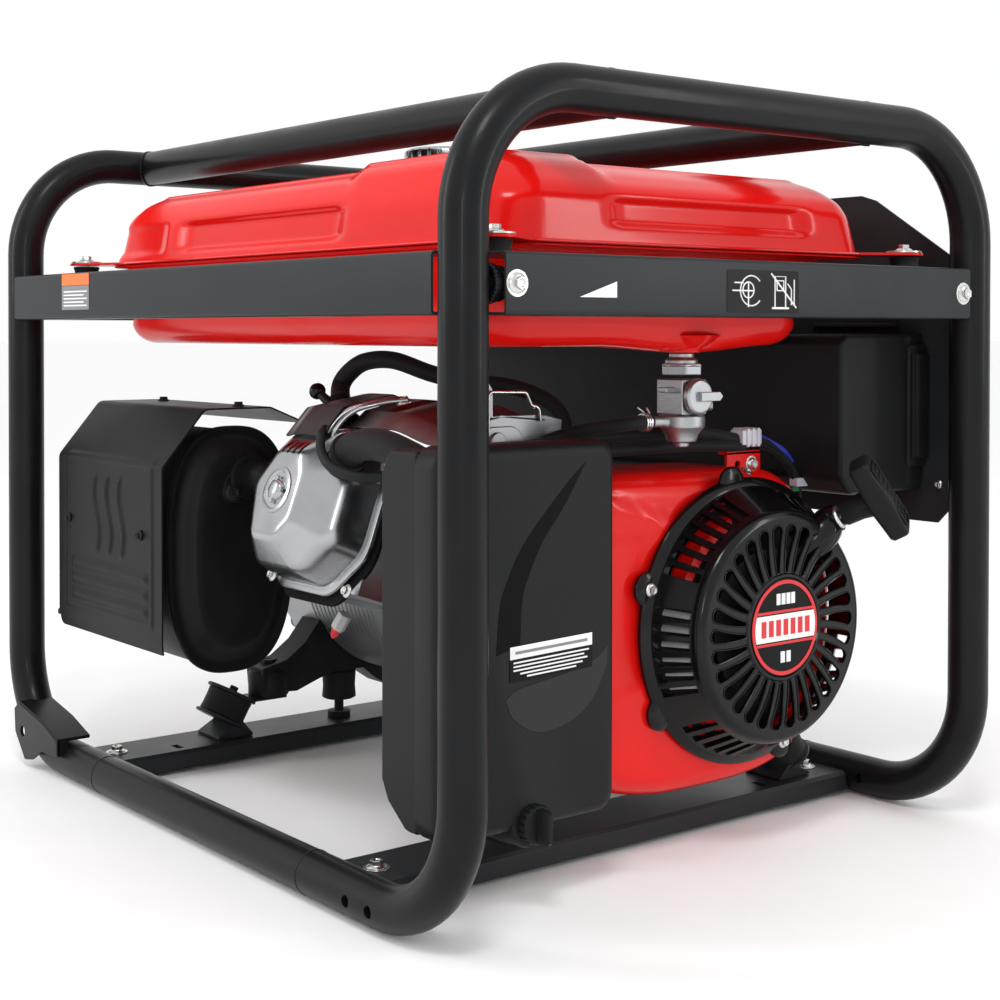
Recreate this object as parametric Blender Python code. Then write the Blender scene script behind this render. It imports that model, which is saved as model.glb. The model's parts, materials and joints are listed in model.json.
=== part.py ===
"""Portable generator: tube frame, fuel tank, single-cylinder engine, alternator and control panel.

Axes: +Z up, +X towards the recoil starter along the crankshaft, +Y towards the control panel.
The origin is on the ground below the middle of the frame. Sizes below are in millimetres and are
turned into metres as each mesh is made.
"""

import math

import bmesh
import bpy
from mathutils import Matrix, Vector

# Frame
FRAME_L = 680.0  # between the upright tubes' centres, along X
FRAME_W = 510.0  # between the upright tubes' centres, along Y
FRAME_H = 538.0  # between the bottom and the top tubes' centres
TUBE_R = 16.0
BEND_R = 88.0  # to the tube's centre line
SEAM_X = 165.0  # where the hoops meet the bottom rails
TOP_RAIL_Y = 130.0
GAP = 0.3  # clearance between touching pieces
BEAM_Z0 = 406.0
BEAM_Z1 = 446.0
BEAM_Z = (BEAM_Z0 + BEAM_Z1) / 2
BEAM_T = 2.5
SIDE_BEAM_D = 26.0
CROSS_W = 64.0
CROSS_X = (195.0, -219.0)
CROSS_Z = 20.0
CROSS_T = 3.0

# Fuel tank
TANK_L = FRAME_L / 2 - 44  # half length at the seam
TANK_W = FRAME_W / 2 - 61  # half width at the seam
TANK_SEAM_Z = BEAM_Z1 + 10
TANK_TOP_Z = TANK_SEAM_Z + 62
TANK_BOTTOM_Z = TANK_SEAM_Z - 71
TANK_T = 2.0
LUG = (FRAME_L / 2 - 29, FRAME_W / 2 - 47)  # the tank's bolts, over the end beams' inner flanges
CAP_XY = (75.0, -74.0)
CAP_R = 34.0
NECK_R = 26.0
NECK_TOP_Z = TANK_TOP_Z + 12
VALVE_XY = (246.0, 24.0)

# Engine
CRANK_Y = 75.0
CRANK_Z = 172.0
CYL_X = 42.0
LEAN = math.radians(19.5)  # the cylinder leans this far above level, towards -Y
BORE_R = 44.0
STROKE = 66.0
PISTON_LOW = 73.5  # the skirt's edge from the crankshaft, at the bottom of the stroke
CASE_X0 = -35.0
CASE_X1 = 165.0
SHAFT_R = 17.5
BLOWER_X0 = 172.0
BLOWER_X1 = 262.0
SKIN = 3.0
RECOIL_R = 111.0
MOUTH_R = RECOIL_R - 19  # the blower's mouth, under the recoil cover
RECOIL_FACE_R = RECOIL_R - 24
RECOIL_FACE_X = 305.0
REEL_R = 45.0
ROPE_R = 2.2
HORN_R = RECOIL_R - 8.6  # from the crankshaft to the rope's guide
NECK = Vector((306.0, CRANK_Y + HORN_R * 0.625, CRANK_Z + HORN_R * 0.78125))
PULL = Vector((0.80, 0.38, 0.46)).normalized()

# Air cleaner
CLEAN_Y = (-237.0, -80.5)
CLEAN_Z = (57.0, 320.0)
CLEAN_X = (218.0, 262.0, 290.0)
KNOB_Z = 62.0

PLUG = Vector((12.0, -118.0, 303.0))
PLUG_WAY = Vector((-0.40, -0.20, 0.90)).normalized()

# Exhaust
MUFF_Y = -173.0
MUFF_Z = 210.0
MUFF_A = 59.0
MUFF_B = 104.0
MUFF_X = (-288.0, -86.0)

# Alternator
ALT_R = 108.0
ALT_X = (-300.0, -48.0)
ROTOR_R = 66.0
STATOR_R = 68.0

# Control panel
PANEL_X = FRAME_L / 2 - 22
PANEL_Y = FRAME_W / 2 + 7
PANEL_Z = (238.0, 513.0)
PANEL_T = 2.0
BOX_X = (-200.0, 290.0)
BOX_Y = PANEL_Y - 105
BOX_Z = (265.0, 394.0)

MM = 0.001
PARTS = "portable_generator"
CUTTERS = "cutters"


def start_scene():
    for obj in list(bpy.data.objects):
        bpy.data.objects.remove(obj, do_unlink=True)
    for name in (PARTS, CUTTERS):
        collection = bpy.data.collections.new(name)
        bpy.context.scene.collection.children.link(collection)
    bpy.data.collections[CUTTERS].hide_render = True


MATERIALS = {
    "frame_black": ((0.022, 0.023, 0.025), 0.38, 0.0),
    "beam_black": ((0.035, 0.038, 0.042), 0.45, 0.0),
    "tank_red": ((0.80, 0.035, 0.025), 0.16, 0.0),
    "alloy": ((0.62, 0.63, 0.64), 0.38, 1.0),
    "bright_steel": ((0.75, 0.75, 0.76), 0.22, 1.0),
    "zinc": ((0.70, 0.71, 0.70), 0.30, 1.0),
    "rubber_black": ((0.02, 0.02, 0.02), 0.75, 0.0),
    "plastic_black": ((0.022, 0.023, 0.024), 0.42, 0.0),
    "gloss_black": ((0.012, 0.012, 0.013), 0.18, 0.0),
    "muffler_black": ((0.020, 0.021, 0.023), 0.55, 0.0),
    "cast_black": ((0.030, 0.031, 0.033), 0.50, 0.3),
    "switch_red": ((0.65, 0.02, 0.02), 0.30, 0.0),
    "foam_grey": ((0.25, 0.24, 0.22), 0.90, 0.0),
    "rope_white": ((0.75, 0.73, 0.68), 0.80, 0.0),
}


def material(name):
    found = bpy.data.materials.get(name)
    if found:
        return found
    colour, rough, metal = MATERIALS[name]
    made = bpy.data.materials.new(name)
    made.use_nodes = True
    shader = made.node_tree.nodes["Principled BSDF"]
    shader.inputs["Base Color"].default_value = (*colour, 1.0)
    shader.inputs["Roughness"].default_value = rough
    shader.inputs["Metallic"].default_value = metal
    return made


def mesh_of(bm, name):
    bmesh.ops.recalc_face_normals(bm, faces=bm.faces)
    mesh = bpy.data.meshes.new(name)
    bm.to_mesh(mesh)
    bm.free()
    return mesh


def rings(sections, name="solid"):
    """A closed skin over rings with the same number of points, capped at both ends."""
    bm = bmesh.new()
    rows = [[bm.verts.new(Vector(p) * MM) for p in ring] for ring in sections]
    count = len(rows[0])
    for low, high in zip(rows, rows[1:]):
        for i in range(count):
            j = (i + 1) % count
            bm.faces.new((low[i], low[j], high[j], high[i]))
    bm.faces.new(rows[0][::-1])
    bm.faces.new(rows[-1])
    return mesh_of(bm, name)


def lathe(profile, centre, axis, count=32, name="lathe"):
    """A solid turned about an axis. The profile is (distance along, radius) pairs, never on the axis."""
    turn = Vector((0, 0, 1)).rotation_difference(Vector(axis).normalized()).to_matrix()
    sections = []
    for along, radius in profile:
        ring = []
        for i in range(count):
            angle = 2 * math.pi * i / count
            spot = Vector((radius * math.cos(angle), radius * math.sin(angle), along))
            ring.append(Vector(centre) + turn @ spot)
        sections.append(ring)
    return rings(sections, name)


def closed_lathe(profile, centre, axis, count=32, name="ring"):
    """A ring-shaped solid: the profile is a closed loop that stays clear of the axis."""
    turn = Vector((0, 0, 1)).rotation_difference(Vector(axis).normalized()).to_matrix()
    bm = bmesh.new()
    rows = []
    for i in range(count):
        angle = 2 * math.pi * i / count
        row = []
        for along, radius in profile:
            spot = Vector((radius * math.cos(angle), radius * math.sin(angle), along))
            row.append(bm.verts.new((Vector(centre) + turn @ spot) * MM))
        rows.append(row)
    size = len(profile)
    for i in range(count):
        here, there = rows[i], rows[(i + 1) % count]
        for k in range(size):
            m = (k + 1) % size
            bm.faces.new((here[k], here[m], there[m], there[k]))
    return mesh_of(bm, name)


def rod(start, end, radius, count=20):
    start, end = Vector(start), Vector(end)
    return lathe([(0, radius), ((end - start).length, radius)], start, end - start, count)


def box(x0, x1, y0, y1, z0, z1):
    low = [(x0, y0, z0), (x1, y0, z0), (x1, y1, z0), (x0, y1, z0)]
    high = [(x0, y0, z1), (x1, y0, z1), (x1, y1, z1), (x0, y1, z1)]
    return rings([low, high], "box")


def prism_x(points, x0, x1):
    """The (y, z) outline drawn out along X."""
    return rings([[(x, y, z) for y, z in points] for x in (x0, x1)], "prism")


def prism_y(points, y0, y1):
    """The (x, z) outline drawn out along Y."""
    return rings([[(x, y, z) for x, z in points] for y in (y0, y1)], "prism")


def prism_z(points, z0, z1):
    """The (x, y) outline drawn out along Z."""
    return rings([[(x, y, z) for x, y in points] for z in (z0, z1)], "prism")


def sweep(path, radius, count=16):
    """A round bar along a path of points, with flat ends square to the path."""
    points = [Vector(p) for p in path]
    heads = []
    for i, _ in enumerate(points):
        before = points[max(i - 1, 0)]
        after = points[min(i + 1, len(points) - 1)]
        heads.append((after - before).normalized())
    side = heads[0].orthogonal().normalized()
    sections = []
    for i, point in enumerate(points):
        if i:
            side = heads[i - 1].rotation_difference(heads[i]) @ side
            side = (side - heads[i] * side.dot(heads[i])).normalized()
        across = heads[i].cross(side)
        ring = []
        for k in range(count):
            angle = 2 * math.pi * k / count
            ring.append(point + (side * math.cos(angle) + across * math.sin(angle)) * radius)
        sections.append(ring)
    return rings(sections, "sweep")


def rounded_path(corners, radius, steps=6):
    """The points of a path with each inner corner replaced by an arc."""
    corners = [Vector(c) for c in corners]
    path = [corners[0]]
    for before, corner, after in zip(corners, corners[1:], corners[2:]):
        to_before = (before - corner).normalized()
        to_after = (after - corner).normalized()
        half = to_before.angle(to_after) / 2
        reach = radius / math.tan(half)
        centre = corner + (to_before + to_after).normalized() * radius / math.sin(half)
        first = corner + to_before * reach - centre
        last = corner + to_after * reach - centre
        for step in range(steps + 1):
            turn = first.rotation_difference(last)
            part = turn.copy()
            part.angle = turn.angle * step / steps
            path.append(centre + part @ first)
    path.append(corners[-1])
    return path


def rounded_rect(half_x, half_y, radius, z, centre=(0.0, 0.0), steps=3):
    ring = []
    signs = ((1, 1, 0), (-1, 1, 90), (-1, -1, 180), (1, -1, 270))
    for sx, sy, start in signs:
        for step in range(steps + 1):
            angle = math.radians(start + 90 * step / steps)
            x = centre[0] + sx * (half_x - radius) + radius * math.cos(angle)
            y = centre[1] + sy * (half_y - radius) + radius * math.sin(angle)
            ring.append((x, y, z))
    return ring


def circle(centre, radius, count=24, start=0.0):
    ring = []
    for i in range(count):
        angle = start + 2 * math.pi * i / count
        ring.append((centre[0] + radius * math.cos(angle), centre[1] + radius * math.sin(angle)))
    return ring


def part(name, mesh, kind, origin=None):
    obj = bpy.data.objects.new(name, mesh)
    bpy.data.collections[PARTS].objects.link(obj)
    mesh.name = name
    mesh.materials.append(material(kind))
    if origin is not None:
        spot = Vector(origin) * MM
        mesh.transform(Matrix.Translation(-spot))
        obj.location = spot
    return obj


def change(obj, mesh, operation):
    tool = bpy.data.objects.new(f"{obj.name}_tool_{len(obj.modifiers)}", mesh)
    tool.display_type = "WIRE"
    tool.hide_render = True
    bpy.data.collections[CUTTERS].objects.link(tool)
    step = obj.modifiers.new(operation.lower(), "BOOLEAN")
    step.solver = "EXACT"
    step.operation = operation
    step.object = tool


def cut(obj, *meshes):
    for mesh in meshes:
        change(obj, mesh, "DIFFERENCE")


def add(obj, *meshes):
    for mesh in meshes:
        change(obj, mesh, "UNION")


def build_frame():
    hx, hy = FRAME_L / 2, FRAME_W / 2
    low, high = TUBE_R, TUBE_R + FRAME_H
    for name, side in (("hoop_front", 1), ("hoop_rear", -1)):
        x, seam = side * hx, side * (SEAM_X + GAP / 2)
        corners = [(seam, -hy, low), (x, -hy, low), (x, -hy, high)]
        corners += [(x, hy, high), (x, hy, low), (seam, hy, low)]
        hoop = part(name, sweep(rounded_path(corners, BEND_R), TUBE_R), "frame_black")
        for y in (-1, 1):
            tab = rod((x, y * (hy - 8), BEAM_Z), (x, y * (hy - 29), BEAM_Z), 13, 12)
            add(hoop, tab)
        if side < 0:
            corner = [(-330, 58), (-262, 52), (-222, 38), (-222, 20), (-262, 8), (-290, 8), (-322, 26)]
            for outer in (-hy - TUBE_R - 4, hy + TUBE_R - 5):
                add(hoop, prism_y(corner, outer, outer + 9))
    for name, side in (("bottom_rail_left", -1), ("bottom_rail_right", 1)):
        end = SEAM_X - GAP / 2
        part(name, rod((-end, side * hy, low), (end, side * hy, low), TUBE_R, 16), "frame_black")
    for name, side in (("top_rail_left", -1), ("top_rail_right", 1)):
        y = side * TOP_RAIL_Y
        rail = part(name, rod((-hx, y, high), (hx, y, high), TUBE_R, 16), "frame_black")
        for x in (-hx, hx):
            cut(rail, rod((x, y - 40, high), (x, y + 40, high), TUBE_R + GAP, 32))


def build_beams():
    hx, hy = FRAME_L / 2, FRAME_W / 2
    for name, side in (("end_beam_front", 1), ("end_beam_rear", -1)):
        face, inner = side * (hx + 16), side * (hx - 40)
        y = hy - 21
        beam = part(name, box(min(face, inner), max(face, inner), -y, y, BEAM_Z0, BEAM_Z1), "beam_black")
        hollow = sorted((face - side * BEAM_T, inner - side * 5))
        cut(beam, box(*hollow, -y - 5, y + 5, BEAM_Z0 + BEAM_T, BEAM_Z1 - BEAM_T))
        for sy in (-1, 1):
            near = (side * hx, sy * (hy - 5), BEAM_Z)
            cut(beam, rod(near, (side * hx, sy * (hy - 29 - GAP), BEAM_Z), 13 + GAP, 24))
            cut(beam, rod((side * hx, sy * hy, BEAM_Z0 - 26), (side * hx, sy * hy, BEAM_Z1 + 24),
                    TUBE_R + 4, 24))
            spot = (face, sy * (y - 10), BEAM_Z)
            add(beam, lathe([(-1, 9), (2, 9), (2, 6.5), (8, 6.5)], spot, (side, 0, 0), 6))
    outer = -hy - TUBE_R
    side_beam = part("side_beam", box(-hx, hx, outer, outer + SIDE_BEAM_D, BEAM_Z0, BEAM_Z1),
            "beam_black")
    cut(side_beam, box(-hx - 5, hx + 5, outer + BEAM_T, outer + SIDE_BEAM_D + 5, BEAM_Z0 + BEAM_T,
            BEAM_Z1 - BEAM_T))
    for side in (-1, 1):
        cut(side_beam, box(*sorted((side * (hx - 12), side * (hx + 9))), outer - 9, -200, 380, 470))
        cut(side_beam, rod((side * hx, -hy, 380), (side * hx, -hy, 470), TUBE_R + GAP, 32))


def build_cross_beams():
    y = FRAME_W / 2
    for name, x in zip(("cross_beam_front", "cross_beam_rear"), CROSS_X):
        half = CROSS_W / 2
        beam = part(name, box(x - half, x + half, -y, y, 4, CROSS_Z), "beam_black")
        cut(beam, box(x - half + CROSS_T, x + half - CROSS_T, -y - 5, y + 5, 0, CROSS_Z - CROSS_T))
        for side in (-1, 1):
            cut(beam, rod((x - 60, side * y, TUBE_R), (x + 60, side * y, TUBE_R), TUBE_R + GAP, 32))
            add(beam, lathe([(-1, 9), (2, 9), (2, 6.5), (8, 6.5)], (x, side * 222, CROSS_Z), (0, 0, 1),
                    6))


def tank_ring(inset_x, inset_y, z, radius=34.0):
    return rounded_rect(TANK_L - inset_x, TANK_W - inset_y, radius, z)


def build_tank():
    flange = tank_ring(-5, -5, TANK_SEAM_Z)
    sections = [flange, tank_ring(-5, -5, TANK_SEAM_Z + 2.5), tank_ring(0, 0, TANK_SEAM_Z + 2.5)]
    sections += [tank_ring(6, 6, TANK_TOP_Z - 26), tank_ring(14, 12, TANK_TOP_Z - 17),
            tank_ring(46, 24, TANK_TOP_Z, 26)]
    upper = part("tank_upper", rings(sections), "tank_red")
    block = [(80, -83), (286, -83), (286, -190), (104, -190)]
    top = [(108, -96), (250, -96), (250, -168), (122, -168)]
    add(upper, rings([[(x, y, TANK_SEAM_Z + 14) for x, y in block],
            [(x, y, TANK_TOP_Z + 4) for x, y in top]]))
    neck = (*CAP_XY, TANK_TOP_Z - 18)
    for sx in (-1, 1):
        for sy in (-1, 1):
            spot = Vector((sx * LUG[0], sy * LUG[1], TANK_SEAM_Z))
            root = Vector((sx * (TANK_L - 24), sy * (TANK_W - 24), TANK_SEAM_Z))
            side = Vector((-sy, sx, 0)).normalized() * 13
            away = (spot - root).normalized() * 12
            tab = [root + side, root - side, spot + away - side, spot + away + side]
            add(upper, rings([tab, [p + Vector((0, 0, 2.5)) for p in tab]]))
            cut(upper, rod(spot - Vector((0, 0, 5)), spot + Vector((0, 0, 9)), 4.6, 12))
    inner = [tank_ring(TANK_T, TANK_T, TANK_SEAM_Z - 3), tank_ring(TANK_T, TANK_T, TANK_SEAM_Z + 2)]
    inner += [tank_ring(6 + TANK_T, 6 + TANK_T, TANK_TOP_Z - 26), tank_ring(16, 14, TANK_TOP_Z - 19)]
    inner += [tank_ring(48, 26, TANK_TOP_Z - TANK_T, 26)]
    cut(upper, rings(inner))
    add(upper, lathe([(-24, NECK_R), (0, NECK_R)], (*CAP_XY, NECK_TOP_Z), (0, 0, 1), 24))
    cut(upper, lathe([(-40, NECK_R - 2), (40, NECK_R - 2)], neck, (0, 0, 1), 24))
    add(upper, lathe([(-6, 22), (5, 22), (7, 18)], (-95, -60, TANK_TOP_Z), (0, 0, 1), 20))

    seam = TANK_SEAM_Z - GAP
    low = TANK_BOTTOM_Z + 17
    base = [rounded_rect(TANK_L + 3, TANK_W + 3, 34, seam),
            rounded_rect(TANK_L + 3, TANK_W + 3, 34, seam - 2)]
    base += [rounded_rect(TANK_L - 4, TANK_W - 4, 34, seam - 2)]
    base += [rounded_rect(TANK_L - 24, TANK_W - 20, 34, seam - 8, (0, -20)),
            rounded_rect(TANK_L - 28, TANK_W - 22, 32, low, (0, -21))]
    base += [rounded_rect(TANK_L - 44, TANK_W - 38, 24, TANK_BOTTOM_Z, (0, -21))]
    lower = part("tank_lower", rings(base), "tank_red")
    sump = [(-8, 40), (12, 32), (22, 17), (27, 15)]
    add(lower, lathe(sump, (*VALVE_XY, TANK_BOTTOM_Z + 22), (0, 0, -1), 20))
    inside = [rounded_rect(TANK_L - 6, TANK_W - 6, 32, seam + 2),
            rounded_rect(TANK_L - 6, TANK_W - 6, 32, seam - 1)]
    inside += [rounded_rect(TANK_L - 26, TANK_W - 22, 32, seam - 10, (0, -20))]
    inside += [rounded_rect(TANK_L - 30, TANK_W - 24, 30, low, (0, -21))]
    inside += [rounded_rect(TANK_L - 46, TANK_W - 40, 22, TANK_BOTTOM_Z + TANK_T, (0, -21))]
    cut(lower, rings(inside))
    cut(lower, lathe([(0, 8), (60, 8)], (*VALVE_XY, TANK_BOTTOM_Z + 30), (0, 0, -1), 16))
    build_tank_fittings()


def build_tank_fittings():
    x, y = CAP_XY
    base = NECK_TOP_Z
    cap = lathe([(-6, CAP_R), (10, CAP_R), (14, CAP_R - 4)], (x, y, base), (0, 0, 1), 32)
    cap_obj = part("fuel_cap", cap, "bright_steel", (x, y, base))
    tool = lathe([(-20, NECK_R + GAP), (GAP, NECK_R + GAP)], (0, 0, 0), (0, 0, 1), 24)
    tool.transform(Matrix.Translation(Vector((x, y, base)) * MM))
    cut(cap_obj, tool)
    names = ("front_left", "front_right", "rear_left", "rear_right")
    for name, (sx, sy) in zip(names, ((1, -1), (1, 1), (-1, -1), (-1, 1))):
        spot = (sx * LUG[0], sy * LUG[1], BEAM_Z1 + GAP)
        rise = TANK_SEAM_Z - BEAM_Z1 - 2 * GAP
        top = rise + 2.5 + 3 * GAP
        outline = [(0, 12), (rise, 12), (rise, 4.2), (top, 4.2), (top, 11), (top + 1.5, 11)]
        outline += [(top + 1.5, 6.5), (top + 7.5, 6.5)]
        part(f"tank_mount_{name}", lathe(outline, spot, (0, 0, 1), 12), "rubber_black")


def build_fuel_line():
    x, y = VALVE_XY
    top = TANK_BOTTOM_Z - 5 - GAP
    body = lathe([(0, 9), (10, 9), (10, 15), (24, 15), (24, 9), (30, 9)], (x, y, top), (0, 0, -1), 16)
    valve = part("fuel_valve", body, "alloy")
    add(valve, rod((x, y, top - 28), (x, y, top - 50), 15, 16))
    add(valve, lathe([(47, 18), (56, 18), (60, 13), (68, 11), (68, 6), (72, 6)], (x, y, top), (0, 0, -1),
            16))
    add(valve, rod((x, y - 10, top - 52), (x, y - 32, top - 52), 4, 12))
    lever_z = top - 33
    lever = lathe([(0, 13), (6, 13)], (x + 15 + GAP, y, lever_z), (1, 0, 0), 20)
    lever_obj = part("fuel_valve_lever", lever, "bright_steel", (x + 15 + GAP, y, lever_z))
    add(lever_obj, box(x + 16, x + 25, y - 2, y + 20, lever_z - 3, lever_z + 3))
    start = Vector((x, y - 32 - GAP, top - 52))
    route = [start, start + Vector((0, -24, 0)), (205, -50, 320), (160, -74, 304), (158, -80, 262)]
    part("fuel_hose", sweep(rounded_path(route, 16, 4), 5.5, 12), "rubber_black")


def lean(along, up, x=0.0):
    """The point this far along the cylinder from the crankshaft, and this far above its axis."""
    y = CRANK_Y - along * math.cos(LEAN) + up * math.sin(LEAN)
    z = CRANK_Z + along * math.sin(LEAN) + up * math.cos(LEAN)
    return (CYL_X + x, y, z)


def lean_box(a0, a1, half_x, half_up):
    corners = ((-1, -1), (1, -1), (1, 1), (-1, 1))
    return rings([[lean(a, v * half_up, u * half_x) for u, v in corners] for a in (a0, a1)])


def build_engine():
    outline = [(-18, 70), (-8, 52), (158, 52), (166, 70), (166, 216), (138, 248), (20, 248), (-18, 226)]
    block = part("engine_block", prism_x(outline, CASE_X0, CASE_X1), "alloy")
    add(block, lean_box(70, 189.7, BORE_R + 8, BORE_R + 12))
    add(block, box(118, 160, -68, 40, 49, 58), box(150, 212, -68, -46, 49, 54.5))
    add(block, box(118, 160, 40, 158, 49, 58), box(150, 212, 138, 158, 49, 56))
    cut(block, rod((CASE_X0 + 14, CRANK_Y, CRANK_Z), (CASE_X1 - 14, CRANK_Y, CRANK_Z), 66, 32))
    cut(block, rod(lean(20, 0), lean(200, 0), BORE_R + GAP, 32))
    shaft = SHAFT_R + 0.5
    cut(block, rod((CASE_X0 - 9, CRANK_Y, CRANK_Z), (CASE_X1 + 9, CRANK_Y, CRANK_Z), shaft, 32))
    cut(block, rod((130, -30, 88), (130, 22, 88), 8, 12))

    head = part("cylinder_head", lean_box(190, 245, 60, 62), "alloy")
    cut(head, rod(lean(188, 0), lean(202, 0), BORE_R - 4, 24))
    for step in range(4):
        up = 30 + step * 9
        slab = [[lean(a, up + v, u * 80) for u, v in ((-1, 0), (1, 0), (1, 4), (-1, 4))] for a in (197,
                238)]
        cut(head, rings(slab))
    cut(head, rod(lean(218, 0, -70), lean(218, 0, -20), 14, 20))
    cut(head, rod(lean(222, -8, 20), lean(222, -8, 70), 12, 20))
    cut(head, rod(PLUG - PLUG_WAY * 30, PLUG + PLUG_WAY * 30, 7.3, 16))

    hexes = []
    for along, half_x, half_up in ((245.3, 66, 70), (252, 66, 70), (252, 63, 66), (280, 64, 63),
            (302, 34, 40)):
        shape = [(-0.55, -1), (0.55, -1), (1, -0.5), (1, 0.55), (0.6, 1), (-0.6, 1), (-1, 0.55),
                (-1, -0.5)]
        hexes.append([lean(along, v * half_up - 4, u * half_x) for u, v in shape])
    cover = part("valve_cover", rings(hexes), "bright_steel")
    add(cover, rod(lean(290, 4), lean(306, 4), 17, 20))
    cut(cover, rings([[lean(a, v * 50, u * 46) for u,
            v in ((-1, -1), (1, -1), (1, 1), (-1, 1))] for a in (240, 276)]))

    top = [(-190, 322), (-166, 340), (-143, 345), (-143, 343), (-165.4, 338), (-189, 320.2)]
    part("head_shroud", prism_x(top, -4, 150), "alloy")

    plug = lathe([(-14, 7), (13, 7), (13, 6), (30, 5)], PLUG, PLUG_WAY, 12)
    part("spark_plug", plug, "bright_steel")

    piston = lathe([(0, BORE_R - 0.05), (50, BORE_R - 0.05)], lean(PISTON_LOW, 0),
            Vector(lean(1, 0)) - Vector(lean(0, 0)), 32)
    piston_obj = part("piston", piston, "alloy")
    cut(piston_obj, rod(lean(PISTON_LOW - 9, 0), lean(PISTON_LOW + 41, 0), BORE_R - 8, 24))
    build_carburettor()
    build_dipstick()


def build_carburettor():
    x = 131
    body = part("carburettor", box(x, x + 44, -150, -96, 236, 286), "alloy")
    add(body, rod((x + 22, -123, 200), (x + 22, -123, 240), 22, 20))
    add(body, rod((x + 43, -128, 262), (x + 62, -128, 262), 20, 20))
    cut(body, rod((x - 5, -128, 262), (x + 70, -128, 262), 13, 20))
    lever = rod((x + 22, -123, 286 + GAP), (x + 22, -123, 290), 8, 12)
    origin = (x + 22, -123, 288)
    choke = part("choke_lever", lever, "zinc", origin)
    add(choke, box(x + 18, x + 26, -160, -120, 287.5, 289.5))
    add(choke, rod((x + 22, -158, 287), (x + 22, -158, 298), 6, 12))
    route = [(x + 62 + GAP, -128, 262), (CLEAN_X[0] - GAP, -128, 262)]
    duct = part("intake_elbow", rod(route[0], route[1], 22, 20), "plastic_black")
    cut(duct, rod((x + 50, -128, 262), (CLEAN_X[0] + 5, -128, 262), 16, 20))


def build_dipstick():
    stick = lathe([(0, 7.4), (16, 7.4), (16, 13), (30, 13), (34, 10)], (130, -4, 88), (0, -1, 0), 16)
    part("oil_dipstick", stick, "plastic_black")


def build_turning():
    x0, x1 = CASE_X0 - 8, 246
    crank = part("crankshaft", rod((x0, CRANK_Y, CRANK_Z), (CYL_X - 20, CRANK_Y, CRANK_Z), SHAFT_R, 20),
                 "bright_steel", (x0, CRANK_Y, CRANK_Z))
    pin = STROKE / 2
    pieces = [rod((CYL_X + 20, CRANK_Y, CRANK_Z), (186, CRANK_Y, CRANK_Z), SHAFT_R, 20)]
    pieces += [rod((185, CRANK_Y, CRANK_Z), (x1, CRANK_Y, CRANK_Z), 12, 16)]
    pieces += [rod((CYL_X - 38, CRANK_Y, CRANK_Z), (CYL_X - 16, CRANK_Y, CRANK_Z), 56, 24)]
    pieces += [rod((CYL_X + 16, CRANK_Y, CRANK_Z), (CYL_X + 38, CRANK_Y, CRANK_Z), 56, 24)]
    pieces += [rod((CYL_X - 20, CRANK_Y + pin, CRANK_Z), (CYL_X + 20, CRANK_Y + pin, CRANK_Z), 17, 20)]
    add(crank, *pieces)
    wheel = lathe([(188, 24), (188, 96), (206, 96), (206, 34), (240, 30)], (0, CRANK_Y, CRANK_Z),
            (1, 0, 0), 32)
    flywheel = part("flywheel", wheel, "alloy", (206, CRANK_Y, CRANK_Z))
    for i in range(12):
        angle = 2 * math.pi * i / 12
        fin = box(205, 232, 40, 92, -2.2, 2.2)
        fin.transform(Matrix.Translation(Vector((0, CRANK_Y, CRANK_Z)) * MM) @ Matrix.Rotation(angle, 4,
                "X"))
        add(flywheel, fin)
    cut(flywheel, rod((180, CRANK_Y, CRANK_Z), (250, CRANK_Y, CRANK_Z), 12 + GAP, 20))
    rotor = lathe([(ALT_X[0] + 2, 13), (-262, 13), (-262, ROTOR_R), (-78, ROTOR_R), (-78, 14),
            (x0 - GAP, 14)],
                  (0, CRANK_Y, CRANK_Z), (1, 0, 0), 24)
    part("rotor", rotor, "cast_black", (-170, CRANK_Y, CRANK_Z))


def build_blower():
    outline = [(-78, 66), (-20, 47), (88, 44), (148, 62), (186, 112), (190, 196), (158, 262), (120, 286),
            (-40, 290), (-78, 284)]
    centre = Vector((60, 168))

    def inset(distance):
        ring = []
        for point in outline:
            spot = Vector(point)
            ring.append(tuple(spot + (centre - spot).normalized() * distance))
        return ring

    def section(x, distance):
        return [(x, y, z) for y, z in inset(distance)]

    shell = rings([section(BLOWER_X0, 0), section(BLOWER_X1 - 22, 0), section(BLOWER_X1, 13)])
    blower = part("blower_housing", shell, "tank_red")
    inner = rings([section(BLOWER_X0 - 5, 4), section(BLOWER_X1 - 24, 4), section(BLOWER_X1 - SKIN, 15)])
    cut(blower, inner)
    cut(blower, rod((BLOWER_X1 - 20, CRANK_Y, CRANK_Z), (BLOWER_X1 + 9, CRANK_Y, CRANK_Z), MOUTH_R, 32))
    add(blower, box(BLOWER_X1 - 26, BLOWER_X1 - 23, 82, 122, 270, 300))


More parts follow.
